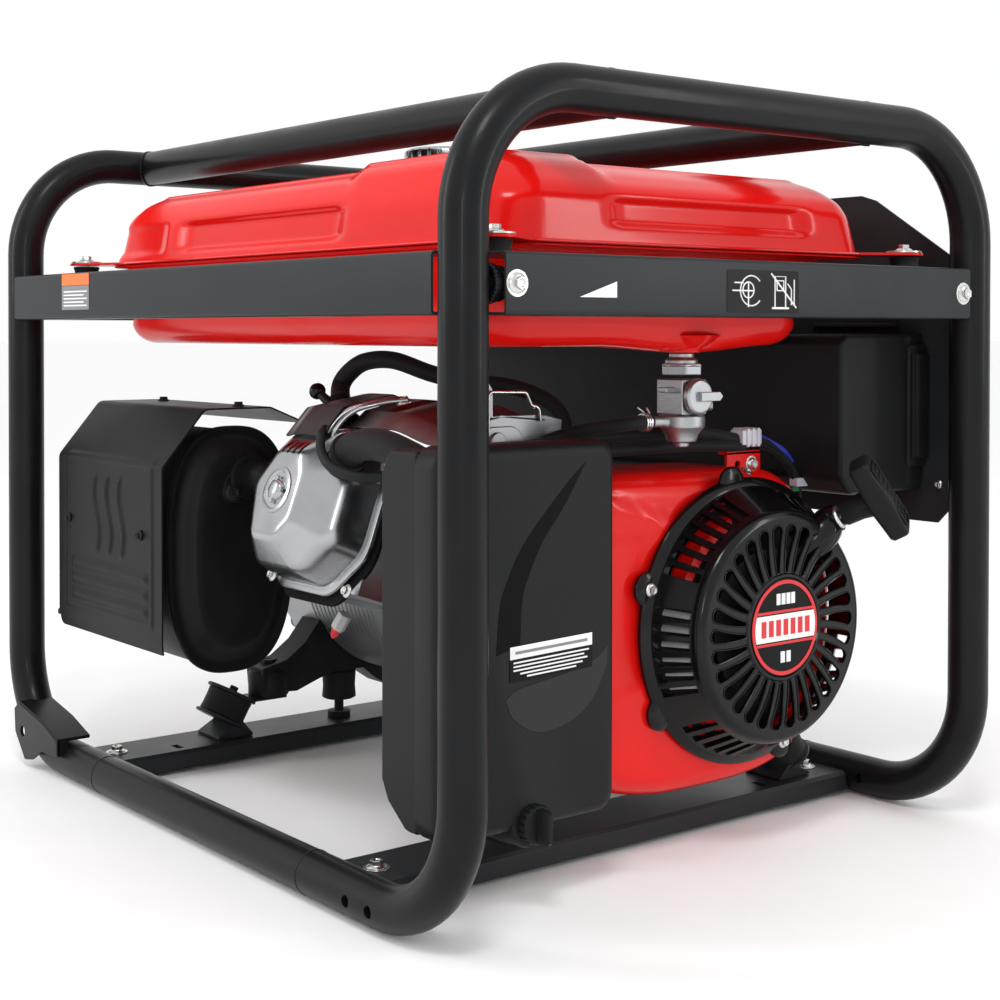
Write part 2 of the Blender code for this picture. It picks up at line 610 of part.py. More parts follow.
def build_recoil():
    flange = BLOWER_X1 + GAP
    middle = (0, CRANK_Y, CRANK_Z)
    profile = [(flange, RECOIL_R), (flange + 4, RECOIL_R), (flange + 10, RECOIL_R - 10)]
    profile += [(RECOIL_FACE_X - 6, RECOIL_FACE_R)]
    profile += [(RECOIL_FACE_X, RECOIL_FACE_R - 6)]
    cover = part("recoil_cover", lathe(profile, middle, (1, 0, 0), 40), "gloss_black")
    inner = [(flange - 5, MOUTH_R), (flange + 8, MOUTH_R), (RECOIL_FACE_X - 8, RECOIL_FACE_R - 4)]
    inner += [(RECOIL_FACE_X - 3, RECOIL_FACE_R - 9)]
    cut(cover, lathe(inner, middle, (1, 0, 0), 40))
    add(cover, rod((flange + 8, CRANK_Y, CRANK_Z), (RECOIL_FACE_X - 1, CRANK_Y, CRANK_Z), 8, 16))
    slots = []
    for i in range(24):
        angle = 2 * math.pi * (i + 0.5) / 24
        slot = box(RECOIL_FACE_X - 12, RECOIL_FACE_X + 9, 42, RECOIL_FACE_R - 14, -2.6, 2.6)
        slot.transform(Matrix.Translation(Vector((0, CRANK_Y, CRANK_Z)) * MM) @ Matrix.Rotation(angle, 4,
                "X"))
        slots.append(slot)
    for i in list(range(9, 15)) + list(range(16, 23)):
        angle = 2 * math.pi * i / 30
        slot = box(flange + 14, RECOIL_FACE_X - 10, RECOIL_FACE_R - 17, RECOIL_R + 19, -3, 3)
        slot.transform(Matrix.Translation(Vector((0, CRANK_Y, CRANK_Z)) * MM) @ Matrix.Rotation(angle, 4,
                "X"))
        slots.append(slot)
    cut(cover, *slots)
    add(cover, rod(NECK - PULL * 26, NECK, 9, 16))
    cut(cover, rod(NECK - PULL * 40, NECK + PULL * 5, ROPE_R + 1.2, 12))

    x0 = flange + 10
    reel = [(0, 9), (0, 58), (4, 58), (4, REEL_R), (13, REEL_R), (13, 58), (17, 58), (17, 9)]
    reel_mesh = closed_lathe(reel, (x0, CRANK_Y, CRANK_Z), (1, 0, 0), 32)
    part("starter_reel", reel_mesh, "plastic_black", (x0, CRANK_Y, CRANK_Z))
    grip = NECK + PULL * 34
    along = Vector((0.25, 0.45, -0.80))
    along = (along - PULL * along.dot(PULL)).normalized()
    across = PULL.cross(along)
    sections = []
    for reach, width in ((-37, 7), (-33, 9), (-12, 10), (0, 11), (12, 10), (33, 9), (37, 7)):
        ring = []
        for u, v in ((-1, -0.6), (-0.6, -1), (0.6, -1), (1, -0.6), (1, 0.6), (0.6, 1), (-0.6, 1),
                (-1, 0.6)):
            ring.append(grip + along * reach + across * (u * width * 0.95) + PULL * (v * width * 0.85))
        sections.append(ring)
    handle = part("starter_handle", rings(sections), "plastic_black")
    add(handle, lathe([(0, 8), (20, 9), (34 - 9, 11)], NECK + PULL * 3, PULL, 12))
    cut(handle, rod(NECK - PULL * 5, NECK + PULL * 24, ROPE_R + 0.15, 12))
    part("starter_rope", rod(NECK - PULL * 20, NECK + PULL * 23.5, ROPE_R, 10), "rope_white")


def build_air_cleaner():
    x0, x1, x2 = CLEAN_X
    y0, y1 = CLEAN_Y
    z0, z1 = CLEAN_Z
    side = [(x0, z0 + 30), (x0 + 28, z0 + 3), (x1 - GAP, z0 + 3), (x1 - GAP, z1 - 4), (x0 + 12, z1 - 4),
            (x0, z1 - 22)]
    base = part("air_cleaner_base", prism_y(side, y0 + 2, y1 - 2), "plastic_black")
    hollow = [(x0 + SKIN, z0 + 33), (x0 + 30, z0 + 7), (x1 + 5, z0 + 7), (x1 + 5, z1 - 8),
            (x0 + 14, z1 - 8), (x0 + SKIN, z1 - 24)]
    cut(base, prism_y(hollow, y0 + 6, y1 - 6))
    cut(base, rod((x0 - 5, -128, 262), (x0 + 12, -128, 262), 16, 20))
    cy, cz = (y0 + y1) / 2, (z0 + z1) / 2
    hy, hz = (y1 - y0) / 2, (z1 - z0) / 2

    def face(x, inset, radius):
        ring = []
        for y, z, _ in rounded_rect(hy - inset, hz - inset, radius, 0):
            ring.append((x, cy + y, cz + z))
        return ring

    cover = part("air_cleaner_cover", rings([face(x1, 0, 12), face(x2 - 6, 0, 12), face(x2, 6, 8)]),
            "plastic_black")
    cut(cover, rings([face(x1 - 5, 3, 10), face(x2 - 8, 3, 10), face(x2 - SKIN, 9, 7)]))
    add(cover, rod((x1 + 6, cy, KNOB_Z), (x2, cy, KNOB_Z), 16, 20))
    cut(cover, rod((x1, cy, KNOB_Z), (x2 + 5, cy, KNOB_Z), 4.4, 12))
    filter_z = (z0 + 60, z1 - 70)
    part("air_filter", box(x0 + 16, x1 + 12, y0 + 16, y1 - 16, *filter_z), "foam_grey")
    spot = (x2 + GAP, cy, KNOB_Z)
    knob = part("air_cleaner_knob", lathe([(0, 13), (6, 13), (8, 11)], spot, (1, 0, 0), 16),
            "plastic_black", spot)
    add(knob, box(spot[0] + 4, spot[0] + 20, cy - 3, cy + 3, spot[2] - 11, spot[2] + 11))
    add(knob, rod((x2 - 16, cy, spot[2]), (x2 + 3, cy, spot[2]), 4, 12))


def oval(x, half_y, half_z, count=28):
    ring = []
    for i in range(count):
        angle = 2 * math.pi * i / count
        c, s = math.cos(angle), math.sin(angle)
        power = 0.75
        y = MUFF_Y + half_y * math.copysign(abs(c) ** power, c)
        z = MUFF_Z + half_z * math.copysign(abs(s) ** power, s)
        ring.append((x, y, z))
    return ring


def build_exhaust():
    x0, x1 = MUFF_X
    a, b = MUFF_A - 3, MUFF_B - 3
    sections = [oval(x0, a - 16, b - 16), oval(x0 + 12, a, b), oval(x1 - 12, a, b),
            oval(x1 - 12, a + 3, b + 3)]
    sections += [oval(x1 - 9, a + 3, b + 3), oval(x1 - 9, a - 4, b - 4), oval(x1, a - 16, b - 16)]
    body = part("muffler", rings(sections), "muffler_black")
    inner = [oval(x0 + 3, a - 18, b - 18), oval(x0 + 13, a - 2, b - 2), oval(x1 - 12, a - 6, b - 6),
            oval(x1 - 3, a - 18, b - 18)]
    cut(body, rings(inner))
    cut(body, rod((x1 - 20, -163, 272), (x1 + 5, -163, 272), 12.5, 20))
    add(body, rings([[(x, -176 + r * math.cos(t), 140 + r * math.sin(t)) for t in (k * math.pi / 8 for k in range(16))]
                     for x, r in ((x0 - 22, 13), (x0 + 2, 13))]))
    cut(body, rod((x0 - 30, -176, 140), (x0 + 20, -176, 140), 10, 16))
    outer = [(-240, 124), (-243, 134), (-243, 283), (-203, 331), (-128, 331), (-108, 318)]
    inner_line = [(-109.3, 317), (-128.5, 329.5), (-202.3, 329.5), (-241.5, 282.4), (-241.5, 134.3),
            (-238.7, 125)]
    shield = part("muffler_shield", prism_x(outer + inner_line, -294, -84), "muffler_black")
    for x in (-250, -110):
        add(shield, rod((x, -160, 330), (x, -160, 338), 5, 6))
    end = lean(218, 0, -60 - GAP)
    route = [(x1 + GAP, -163, 272), (x1 + 30, -163, 272), (end[0] - 22, end[1], end[2]), end]
    part("exhaust_pipe", sweep(rounded_path(route, 18, 4), 15, 16), "muffler_black")


def build_alternator():
    x0, x1 = ALT_X
    middle = (0, CRANK_Y, CRANK_Z)
    profile = [(x0, 84), (x0 + 10, 96), (x0 + 34, ALT_R - 3), (x0 + 34, ALT_R), (x1 - 34, ALT_R),
            (x1 - 30, ALT_R - 6)]
    profile += [(x1, 96), (x1 + 12, 100), (CASE_X0 - GAP, 100)]
    housing = part("alternator_housing", lathe(profile, middle, (1, 0, 0), 32), "alloy")
    cut(housing, rod((x0 + 14, CRANK_Y, CRANK_Z), (x1 - 6, CRANK_Y, CRANK_Z), STATOR_R, 32))
    cut(housing, rod((x1 - 10, CRANK_Y, CRANK_Z), (CASE_X0 + 5, CRANK_Y, CRANK_Z), 40, 24))
    cut(housing, rod((x0 - 5, CRANK_Y, CRANK_Z), (x0 + 20, CRANK_Y, CRANK_Z), 13.5, 20))
    foot = [(-80, 56), (-45, 54), (-14, 66.6), (34, 66.6), (52, 48), (104, 48), (128, 54), (166, 54)]
    foot += [(170, 74), (190, 124), (178, 132), (-28, 132), (-40, 124), (-84, 76)]
    x = CROSS_X[1]
    bracket = part("foot_bracket", prism_x(foot, x - 16, x + 16), "cast_black")
    cut(bracket, rod((x - 40, CRANK_Y, CRANK_Z), (x + 40, CRANK_Y, CRANK_Z), ALT_R + GAP, 48))
    for y in (-67, 152):
        add(bracket, rod((x, y, 52), (x, y, 77), 17, 16))
        add(bracket, lathe([(0, 6.5), (8, 6.5)], (x, y, 76), (0, 0, 1), 6))


def mount(name, x, y, z, toward, arm):
    """A tilted rubber mount on its wedge, with a steel tongue that reaches under the foot."""
    tilt = Vector((0, toward * 0.5, 0.866))
    spot = Vector((x, y, z))
    wedge = [(y - 17, CROSS_Z + GAP), (y + 17, CROSS_Z + GAP)]
    wedge += [(y + 17, CROSS_Z + 4), (y + toward * 6, z - 8), (y - 17, CROSS_Z + 4)]
    base = part(name, prism_x(wedge, x - 20, x + 20), "rubber_black")
    add(base, lathe([(-13, 23), (-10, 23), (-10, 19), (12, 19), (12, 23), (15, 23)], spot, tilt, 20))
    for post in arm:
        add(base, post)


def build_mounts():
    x, low = CROSS_X[1], 45.0
    left = box(x - 14, x + 14, -115, -52, 49.0, 51.7)
    right = box(x - 14, x + 14, 137, 196, 49.0, 51.7)
    mount("mount_rear_left", x, -113, 46, 1, [left])
    mount("mount_rear_right", x, 192, 46, -1, [right])
    centre = lathe([(0, 9), (5, 9), (5, 4), (17, 4), (17, 16), (46, 16)], (x, 12, CROSS_Z + GAP),
            (0, 0, 1), 16)
    part("mount_rear_centre", centre, "rubber_black")
    x = CROSS_X[0]
    mount("mount_front_left", x, -100, 44, 1, [box(x - 14, x + 14, -104, -48, 45.8, 48.7)])
    mount("mount_front_right", x, 188, 44, -1, [box(x - 14, x + 14, 140, 192, 45.8, 48.7)])


def build_panel():
    z0, z1 = PANEL_Z
    y, t = PANEL_Y, PANEL_T
    half = [(PANEL_X - 14, z0), (PANEL_X, z0 + 14), (PANEL_X, 457), (238, z1 - 5), (222, z1)]
    sheet = half + [(-x, z) for x, z in half[::-1]]
    panel = part("panel_sheet", prism_y(sheet, y, y + t), "beam_black")
    cut(panel, box(-150, 150, y - 5, y + t + 5, 290, 380))
    x0, x1 = BOX_X
    outline = [(BOX_Y, BOX_Z[0] + 14), (BOX_Y + 12, BOX_Z[0]), (y - GAP, BOX_Z[0]), (y - GAP, BOX_Z[1]),
            (BOX_Y, BOX_Z[1])]
    back = part("panel_box", prism_x(outline, x0, x1), "plastic_black")
    hollow = [(BOX_Y + 3, BOX_Z[0] + 16), (BOX_Y + 14, BOX_Z[0] + 3), (y + 5, BOX_Z[0] + 3),
            (y + 5, BOX_Z[1] - 3), (BOX_Y + 3, BOX_Z[1] - 3)]
    cut(back, prism_x(hollow, x0 + 3, x1 - 3))
    plate = part("socket_plate", box(-156, 156, y + t + GAP, y + t + 4, 284, 386), "plastic_black")
    for x in (-40, 40):
        add(plate, lathe([(-2, 27), (9, 27), (9, 24)], (x, y + t + 2, 335), (0, 1, 0), 24))
        cut(plate, lathe([(5, 20), (12, 20)], (x, y + t, 335), (0, 1, 0), 24))
        for dx in (-9, 9):
            cut(plate, rod((x + dx, y + t - 9, 335), (x + dx, y + t + 9, 335), 2.4, 12))
    add(plate, lathe([(-4, 26), (6, 26), (6, 23)], (-110, y + t + 2, 335), (0, 1, 0), 24))
    cut(plate, box(99, 121, y - 5, y + 20, 320, 350))
    cut(plate, rod((110, y - 5, 300), (110, y + 20, 300), 6.3, 16))
    origin = (110, y + t + 3, 335)
    key = [(y + t - 6, 320.4), (y + t + 8, 321), (y + t + 4, 335), (y + t + 5, 349), (y + t - 6, 349.6)]
    part("engine_switch", prism_x(key, 99.4, 120.6), "switch_red", origin)
    part("breaker_button", rod((110, y + t - 6, 300), (110, y + t + 9, 300), 6, 16), "gloss_black")


def build_wiring():
    lead = [(205, -30, 302), (215, 20, 306), (222, 60, 312), (226, BOX_Y - 61, 306),
            (222, BOX_Y - 27, 294),
            (214, BOX_Y - 3, 280)]
    loom = part("wiring_loom", sweep(rounded_path(lead, 20, 2), 5, 10), "rubber_black")
    add(loom, box(216, 232, BOX_Y - 59, BOX_Y - 33, 300, 314))
    base = PLUG + PLUG_WAY * 17
    lead_obj = part("plug_lead", lathe([(0, 10), (18, 9), (26, 9), (30, 7)], base, PLUG_WAY, 14),
            "rubber_black")
    start = base + PLUG_WAY * 12
    arch = TANK_BOTTOM_Z - 11
    route = [start, start + Vector((16, 14, 8)), (32, -104, arch), (84, -92, arch), (184, -40, 344),
            (184, -40, 290.4)]
    add(lead_obj, sweep(rounded_path(route, 12, 3), 5.5, 12))
    cut(lead_obj, lathe([(-20, 7), (18, 7)], base, PLUG_WAY, 14))


def main():
    start_scene()
    build_frame()
    build_beams()
    build_cross_beams()
    build_tank()
    build_fuel_line()
    build_engine()
    build_turning()
    build_blower()
    build_recoil()
    build_air_cleaner()
    build_exhaust()
    build_alternator()
    build_mounts()
    build_panel()
    build_wiring()


main()
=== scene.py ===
"""Portable generator: the finished surface of every piece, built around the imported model.

Sizes are in millimetres and become metres as each mesh is made. +X is the starter end, +Y the
control panel side, +Z up.
"""

import json
import math

import bmesh
import bpy
from mathutils import Matrix, Vector

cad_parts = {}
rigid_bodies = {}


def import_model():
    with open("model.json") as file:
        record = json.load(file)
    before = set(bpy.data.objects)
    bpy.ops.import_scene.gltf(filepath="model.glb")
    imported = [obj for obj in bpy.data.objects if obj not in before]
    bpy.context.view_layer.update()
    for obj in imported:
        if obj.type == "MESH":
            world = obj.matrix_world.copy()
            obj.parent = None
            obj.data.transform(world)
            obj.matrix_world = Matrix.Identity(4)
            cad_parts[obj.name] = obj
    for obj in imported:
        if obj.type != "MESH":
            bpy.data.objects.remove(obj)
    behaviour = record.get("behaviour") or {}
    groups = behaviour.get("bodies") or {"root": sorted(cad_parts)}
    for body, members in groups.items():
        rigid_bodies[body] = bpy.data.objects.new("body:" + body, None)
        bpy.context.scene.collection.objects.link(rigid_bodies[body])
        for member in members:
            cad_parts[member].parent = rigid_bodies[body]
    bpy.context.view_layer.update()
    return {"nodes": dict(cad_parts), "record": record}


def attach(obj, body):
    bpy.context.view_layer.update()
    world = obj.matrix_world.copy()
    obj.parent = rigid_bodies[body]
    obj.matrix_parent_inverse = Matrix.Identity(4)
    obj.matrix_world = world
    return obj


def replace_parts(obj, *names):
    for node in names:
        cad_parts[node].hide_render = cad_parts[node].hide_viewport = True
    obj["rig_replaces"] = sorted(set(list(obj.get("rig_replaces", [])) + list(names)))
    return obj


MM = 0.001
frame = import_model()
BODY_OF = {n: b for b, group in frame["record"]["behaviour"]["bodies"].items() for n in group}
SLOT_OF = {s["node"]: s["material_slot"] for s in frame["record"]["subparts"]}

# Sizes shared with the frame
HX, HY, LOW, TOP, TUBE_R, BEND_R = 340, 255, 16, 554, 16, 88
SEAM_X = 165
RAIL_Y = 130
BEAM_LOW, BEAM_Z, BEAM_HIGH, BEAM_FACE = 406, 426, 446, 356
FRONT_BEAM_X, REAR_BEAM_X = 195, -219
CYLINDER_X = 42
CLEANER_Y, KNOB_Z = -158.75, 62
CRANK = Vector((0, 75, 172))
ALTERNATOR = (-300, -48)
LEAN = math.radians(19.5)
NECK = Vector((306, 139, 252))
PULL = Vector((0.80, 0.38, 0.46)).normalized()
PLUG = Vector((12, -118, 303))
PLUG_WAY = Vector((-0.40, -0.20, 0.90)).normalized()


# Materials

def ramp(nodes, links, source, low, high, first, last):
    node = nodes.new("ShaderNodeMapRange")
    node.inputs["From Min"].default_value = low
    node.inputs["From Max"].default_value = high
    node.inputs["To Min"].default_value = first
    node.inputs["To Max"].default_value = last
    links.new(source, node.inputs["Value"])
    return node.outputs["Result"]


def surface(name, colour, rough, metal=0.0, coat=0.0, grain=900, bump=0.05, mottle=0.15, blotch=25,
            sheen=0.0, rough_swing=0.08, brushed=None, shine=None):
    """A Principled surface with fine grain, cloudy tone and uneven gloss, all in object space."""
    made = bpy.data.materials.new(name)
    made.use_nodes = True
    nodes, links = made.node_tree.nodes, made.node_tree.links
    shader = nodes["Principled BSDF"]
    shader.inputs["Metallic"].default_value = metal
    shader.inputs["Coat Weight"].default_value = coat
    shader.inputs["Coat Roughness"].default_value = 0.08
    shader.inputs["Sheen Weight"].default_value = sheen
    if shine is None:
        shine = 0.14 if max(colour) < 0.06 else 0.5
    shader.inputs["Specular IOR Level"].default_value = shine
    place = nodes.new("ShaderNodeTexCoord").outputs["Object"]
    cloud = nodes.new("ShaderNodeTexNoise")
    cloud.inputs["Scale"].default_value = blotch
    cloud.inputs["Detail"].default_value = 6
    links.new(place, cloud.inputs["Vector"])
    tone = nodes.new("ShaderNodeMix")
    tone.data_type = "RGBA"
    dark = [c * (1 - mottle) for c in colour]
    light = [min(1.0, c * (1 + mottle)) for c in colour]
    tone.inputs["A"].default_value = (*dark, 1)
    tone.inputs["B"].default_value = (*light, 1)
    links.new(ramp(nodes, links, cloud.outputs["Fac"], 0.3, 0.7, 0, 1), tone.inputs["Factor"])
    result = tone.outputs["Result"]
    links.new(result, shader.inputs["Base Color"])
    links.new(ramp(nodes, links, cloud.outputs["Fac"], 0.3, 0.7, rough - rough_swing / 2,
            rough + rough_swing / 2),
              shader.inputs["Roughness"])
    fine = nodes.new("ShaderNodeTexNoise")
    fine.inputs["Scale"].default_value = grain
    fine.inputs["Detail"].default_value = 3
    if brushed:
        stretch = nodes.new("ShaderNodeMapping")
        stretch.inputs["Scale"].default_value = brushed
        links.new(place, stretch.inputs["Vector"])
        links.new(stretch.outputs["Vector"], fine.inputs["Vector"])
    else:
        links.new(place, fine.inputs["Vector"])
    relief = nodes.new("ShaderNodeBump")
    relief.inputs["Strength"].default_value = bump
    relief.inputs["Distance"].default_value = 0.0006
    links.new(fine.outputs["Fac"], relief.inputs["Height"])
    links.new(relief.outputs["Normal"], shader.inputs["Normal"])
    return made


def plain(name, colour, rough=0.4, metal=0.0):
    return surface(name, colour, rough, metal, grain=500, bump=0.03, mottle=0.05)


LOOK = {
    "frame_black": surface("powder_black", (0.0062, 0.0066, 0.0074), 0.34, coat=0.05, grain=1400,
            bump=0.10, mottle=0.18, rough_swing=0.10),
    "beam_black": surface("beam_paint", (0.022, 0.0235, 0.0255), 0.36, grain=900, bump=0.08, mottle=0.12,
            brushed=(0.25, 0.25, 1)),
    "tank_red": surface("tank_paint", (0.72, 0.007, 0.005), 0.20, coat=0.12, grain=120, bump=0.012,
            mottle=0.03, rough_swing=0.03, shine=0.18),
    "alloy": surface("cast_alloy", (0.40, 0.41, 0.42), 0.42, metal=1, grain=420, bump=0.30, mottle=0.06,
            blotch=60, rough_swing=0.05),
    "bright_steel": surface("bright_steel", (0.40, 0.41, 0.42), 0.24, metal=1, grain=260, bump=0.04,
            mottle=0.08, rough_swing=0.12),
    "zinc": surface("zinc_plate", (0.62, 0.62, 0.60), 0.28, metal=1, grain=600, bump=0.06, mottle=0.10),
    "rubber_black": surface("rubber", (0.012, 0.012, 0.013), 0.62, grain=700, bump=0.12, mottle=0.2,
            sheen=0.05),
    "plastic_black": surface("moulded_black", (0.0105, 0.0110, 0.0118), 0.42, grain=1500, bump=0.30,
            mottle=0.10),
    "gloss_black": surface("gloss_black", (0.0035, 0.0035, 0.0040), 0.22, coat=0.22, grain=500, bump=0.02,
            mottle=0.10),
    "muffler_black": surface("heat_black", (0.0070, 0.0074, 0.0082), 0.42, grain=900, bump=0.22,
            mottle=0.20),
    "cast_black": surface("cast_black", (0.016, 0.0165, 0.018), 0.48, metal=0.2, grain=380, bump=0.40,
            mottle=0.22, blotch=60),
    "switch_red": surface("switch_red", (0.60, 0.012, 0.010), 0.28, grain=500, bump=0.02),
    "foam_grey": surface("filter_foam", (0.22, 0.21, 0.19), 0.9, grain=240, bump=1.0, mottle=0.3),
    "rope_white": surface("rope", (0.62, 0.60, 0.55), 0.8, grain=500, bump=0.7, mottle=0.2),
}
INK_WHITE = plain("ink_white", (0.78, 0.78, 0.78), 0.45)
INK_BLACK = plain("ink_black", (0.0025, 0.0025, 0.0028), 0.35)
INK_RED = plain("ink_red", (0.62, 0.012, 0.018), 0.35)
INK_ORANGE = plain("ink_orange", (0.80, 0.16, 0.02), 0.5)
INK_GREY = plain("ink_grey", (0.20, 0.20, 0.21), 0.5)
NYLON_WHITE = plain("nylon_white", (0.66, 0.65, 0.72), 0.4)
WIRE_BLUE = plain("wire_blue", (0.02, 0.035, 0.42), 0.4)
WIRE_GREEN = plain("wire_green", (0.01, 0.16, 0.05), 0.4)
CAVITY = plain("cavity", (0.004, 0.004, 0.004), 0.8)
GREY_FIN = surface("dusty_fin", (0.23, 0.235, 0.24), 0.55, metal=0.6, grain=400, bump=0.2)


# Shapes

def placed(name, data):
    """A new object that holds this data, linked into the scene."""
    obj = bpy.data.objects.new(name, data)
    bpy.context.scene.collection.objects.link(obj)
    return obj


def solid(bm, name):
    bmesh.ops.recalc_face_normals(bm, faces=bm.faces)
    mesh = bpy.data.meshes.new(name)
    bm.to_mesh(mesh)
    bm.free()
    return mesh


def rings(sections, caps=True, closed=False, name="loft"):
    """A skin over rings with equal numbers of points."""
    bm = bmesh.new()
    rows = [[bm.verts.new(Vector(p) * MM) for p in ring] for ring in sections]
    pairs = list(zip(rows, rows[1:])) + ([(rows[-1], rows[0])] if closed else [])
    for low, high in pairs:
        for i in range(len(low)):
            j = (i + 1) % len(low)
            bm.faces.new((low[i], low[j], high[j], high[i]))
    if caps and not closed:
        bm.faces.new(rows[0][::-1])
        bm.faces.new(rows[-1])
    return solid(bm, name)


def turning(axis):
    return Vector((0, 0, 1)).rotation_difference(Vector(axis).normalized()).to_matrix()


def lathe(profile, centre, axis, count=64, caps=True, closed=False):
    """A turned solid from (distance along, radius) pairs."""
    turn = turning(axis)
    sections = []
    for along, radius in profile:
        ring = []
        for i in range(count):
            a = 2 * math.pi * i / count
            ring.append(Vector(centre) + turn @ Vector((radius * math.cos(a), radius * math.sin(a),
                    along)))
        sections.append(ring)
    return rings(sections, caps, closed)


def rod(start, end, radius, count=32):
    start, end = Vector(start), Vector(end)
    return lathe([(0, radius), ((end - start).length, radius)], start, end - start, count)


def box(x0, x1, y0, y1, z0, z1):
    low = [(x0, y0, z0), (x1, y0, z0), (x1, y1, z0), (x0, y1, z0)]
    return rings([low, [(x, y, z1) for x, y, _ in low]])


def prism(points, axis, low, high):
    """An outline drawn out along an axis. Its pairs are the other two coordinates, in order."""
    def place(u, v, w):
        return {"x": (w, u, v), "y": (u, w, v), "z": (u, v, w)}[axis]
    return rings([[place(u, v, w) for u, v in points] for w in (low, high)])


def path_frames(points):
    heads = []
    for i in range(len(points)):
        heads.append((points[min(i + 1, len(points) - 1)] - points[max(i - 1, 0)]).normalized())
    side = heads[0].orthogonal().normalized()
    frames = []
    for i, head in enumerate(heads):
        if i:
            side = heads[i - 1].rotation_difference(head) @ side
            side = (side - head * side.dot(head)).normalized()
        frames.append((side, head.cross(side)))
    return frames


def sweep(path, radius, count=24, flat=1.0):
    """A bar along a path. The radius may be a function of the share of the path."""
    points = [Vector(p) for p in path]
    sections = []
    for i, (point, (side, across)) in enumerate(zip(points, path_frames(points))):
        r = radius(i / (len(points) - 1)) if callable(radius) else radius
        ring = []
        for k in range(count):
            a = 2 * math.pi * k / count
            ring.append(point + (side * math.cos(a) + across * math.sin(a) * flat) * r)
        sections.append(ring)
    return rings(sections)


def rounded_path(corners, radius, steps=12):
    corners = [Vector(c) for c in corners]
    path = [corners[0]]
    for before, corner, after in zip(corners, corners[1:], corners[2:]):
        to_before, to_after = (before - corner).normalized(), (after - corner).normalized()
        half = to_before.angle(to_after) / 2
        reach = radius / math.tan(half)
        centre = corner + (to_before + to_after).normalized() * radius / math.sin(half)
        first, last = corner + to_before * reach - centre, corner + to_after * reach - centre
        turn = first.rotation_difference(last)
        for step in range(steps + 1):
            part = turn.copy()
            part.angle = turn.angle * step / steps
            path.append(centre + part @ first)
    return path + [corners[-1]]


def smooth_line(points, steps=10):
    """A Catmull-Rom curve through the points."""
    points = [Vector(p) for p in points]
    ends = [2 * points[0] - points[1]] + points + [2 * points[-1] - points[-2]]
    line = []
    for a, b, c, d in zip(ends, ends[1:], ends[2:], ends[3:]):
        for step in range(steps):
            t = step / steps
            line.append(0.5 * (2 * b + (c - a) * t + (2 * a - 5 * b + 4 * c - d) * t * t
                               + (3 * b - a - 3 * c + d) * t ** 3))
    return line + [points[-1]]


def filled_in(path, step):
    """The path with points added between those that lie further apart than the step."""
    dense = [path[0]]
    for a, b in zip(path, path[1:]):
        n = max(1, int((b - a).length / step))
        dense += [a.lerp(b, i / n) for i in range(1, n + 1)]
    return dense


def evenly(loop, count):
    """This many points, evenly spread along a closed loop."""
    loop = loop + loop[:1]
    lengths = [0.0]
    for a, b in zip(loop, loop[1:]):
        lengths.append(lengths[-1] + (b - a).length)
    spread, k = [], 0
    for i in range(count):
        want = lengths[-1] * i / count
        while lengths[k + 1] < want:
            k += 1
        t = (want - lengths[k]) / (lengths[k + 1] - lengths[k])
        spread.append(loop[k].lerp(loop[k + 1], t))
    return spread


def walled(rows, thick):
    """A sheet over rows of points, with its thickness on the inner side."""
    bm = bmesh.new()
    rows = [[bm.verts.new(p * MM) for p in row] for row in rows]
    for low, high in zip(rows, rows[1:]):
        for i in range(len(low) - 1):
            bm.faces.new((low[i], low[i + 1], high[i + 1], high[i]))
    holder = placed("holder", solid(bm, "sheet"))
    wall = holder.modifiers.new("wall", "SOLIDIFY")
    wall.thickness = thick * MM
    wall.offset = -1
    return applied(holder)


def hand(side):
    return "left" if side < 0 else "right"


def step_between(low, high, value):
    t = min(1.0, max(0.0, (value - low) / (high - low)))
    return t * t * (3 - 2 * t)


def window(value, low, high, edge):
    return step_between(low, low + edge, value) * (1 - step_between(high - edge, high, value))


def joined(*meshes):
    """Several meshes in one, without merging them."""
    bm = bmesh.new()
    for mesh in meshes:
        bm.from_mesh(mesh)
    out = bpy.data.meshes.new("joined")
    bm.to_mesh(out)
    bm.free()
    return out


def carved(mesh, *tools, operation="DIFFERENCE"):
    """The mesh after each tool has been cut from it, or added to it."""
    holder = placed("holder", mesh)
    extra = [placed("tool", tool) for tool in tools]
    for other in extra:
        step = holder.modifiers.new("step", "BOOLEAN")
        step.solver = "EXACT"
        step.operation = operation
        step.object = other
    result = applied(holder)
    for other in extra:
        bpy.data.objects.remove(other)
    return result


def applied(holder):
    """The mesh of an object with its modifiers applied. The object is removed."""
    bpy.context.view_layer.update()
    graph = bpy.context.evaluated_depsgraph_get()
    result = bpy.data.meshes.new_from_object(holder.evaluated_get(graph))
    bpy.data.objects.remove(holder)
    return result


def added(mesh, *tools):
    return carved(mesh, *tools, operation="UNION")


def piece(name, mesh, look, node=None, body=None, angle=35, bevel=0.0, segments=2):
    """A finished piece. It rides on its node's body and stands for that node, or else rides on the frame.

    Its material is a named look's own, or the one given.
    """
    obj = placed(name, mesh)
    mesh.materials.clear()
    mesh.materials.append(LOOK[look] if isinstance(look, str) else look)
    if bevel:
        edge = obj.modifiers.new("edges", "BEVEL")
        edge.width = bevel * MM
        edge.segments = segments
        edge.limit_method = "ANGLE"
        edge.angle_limit = math.radians(max(angle, 30))
        edge.use_clamp_overlap = True
        edge.harden_normals = True
    mesh.shade_smooth()
    mesh.set_sharp_from_angle(angle=math.radians(angle))
    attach(obj, body or (BODY_OF[node] if node else "frame"))
    if node:
        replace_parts(obj, node)
    return obj


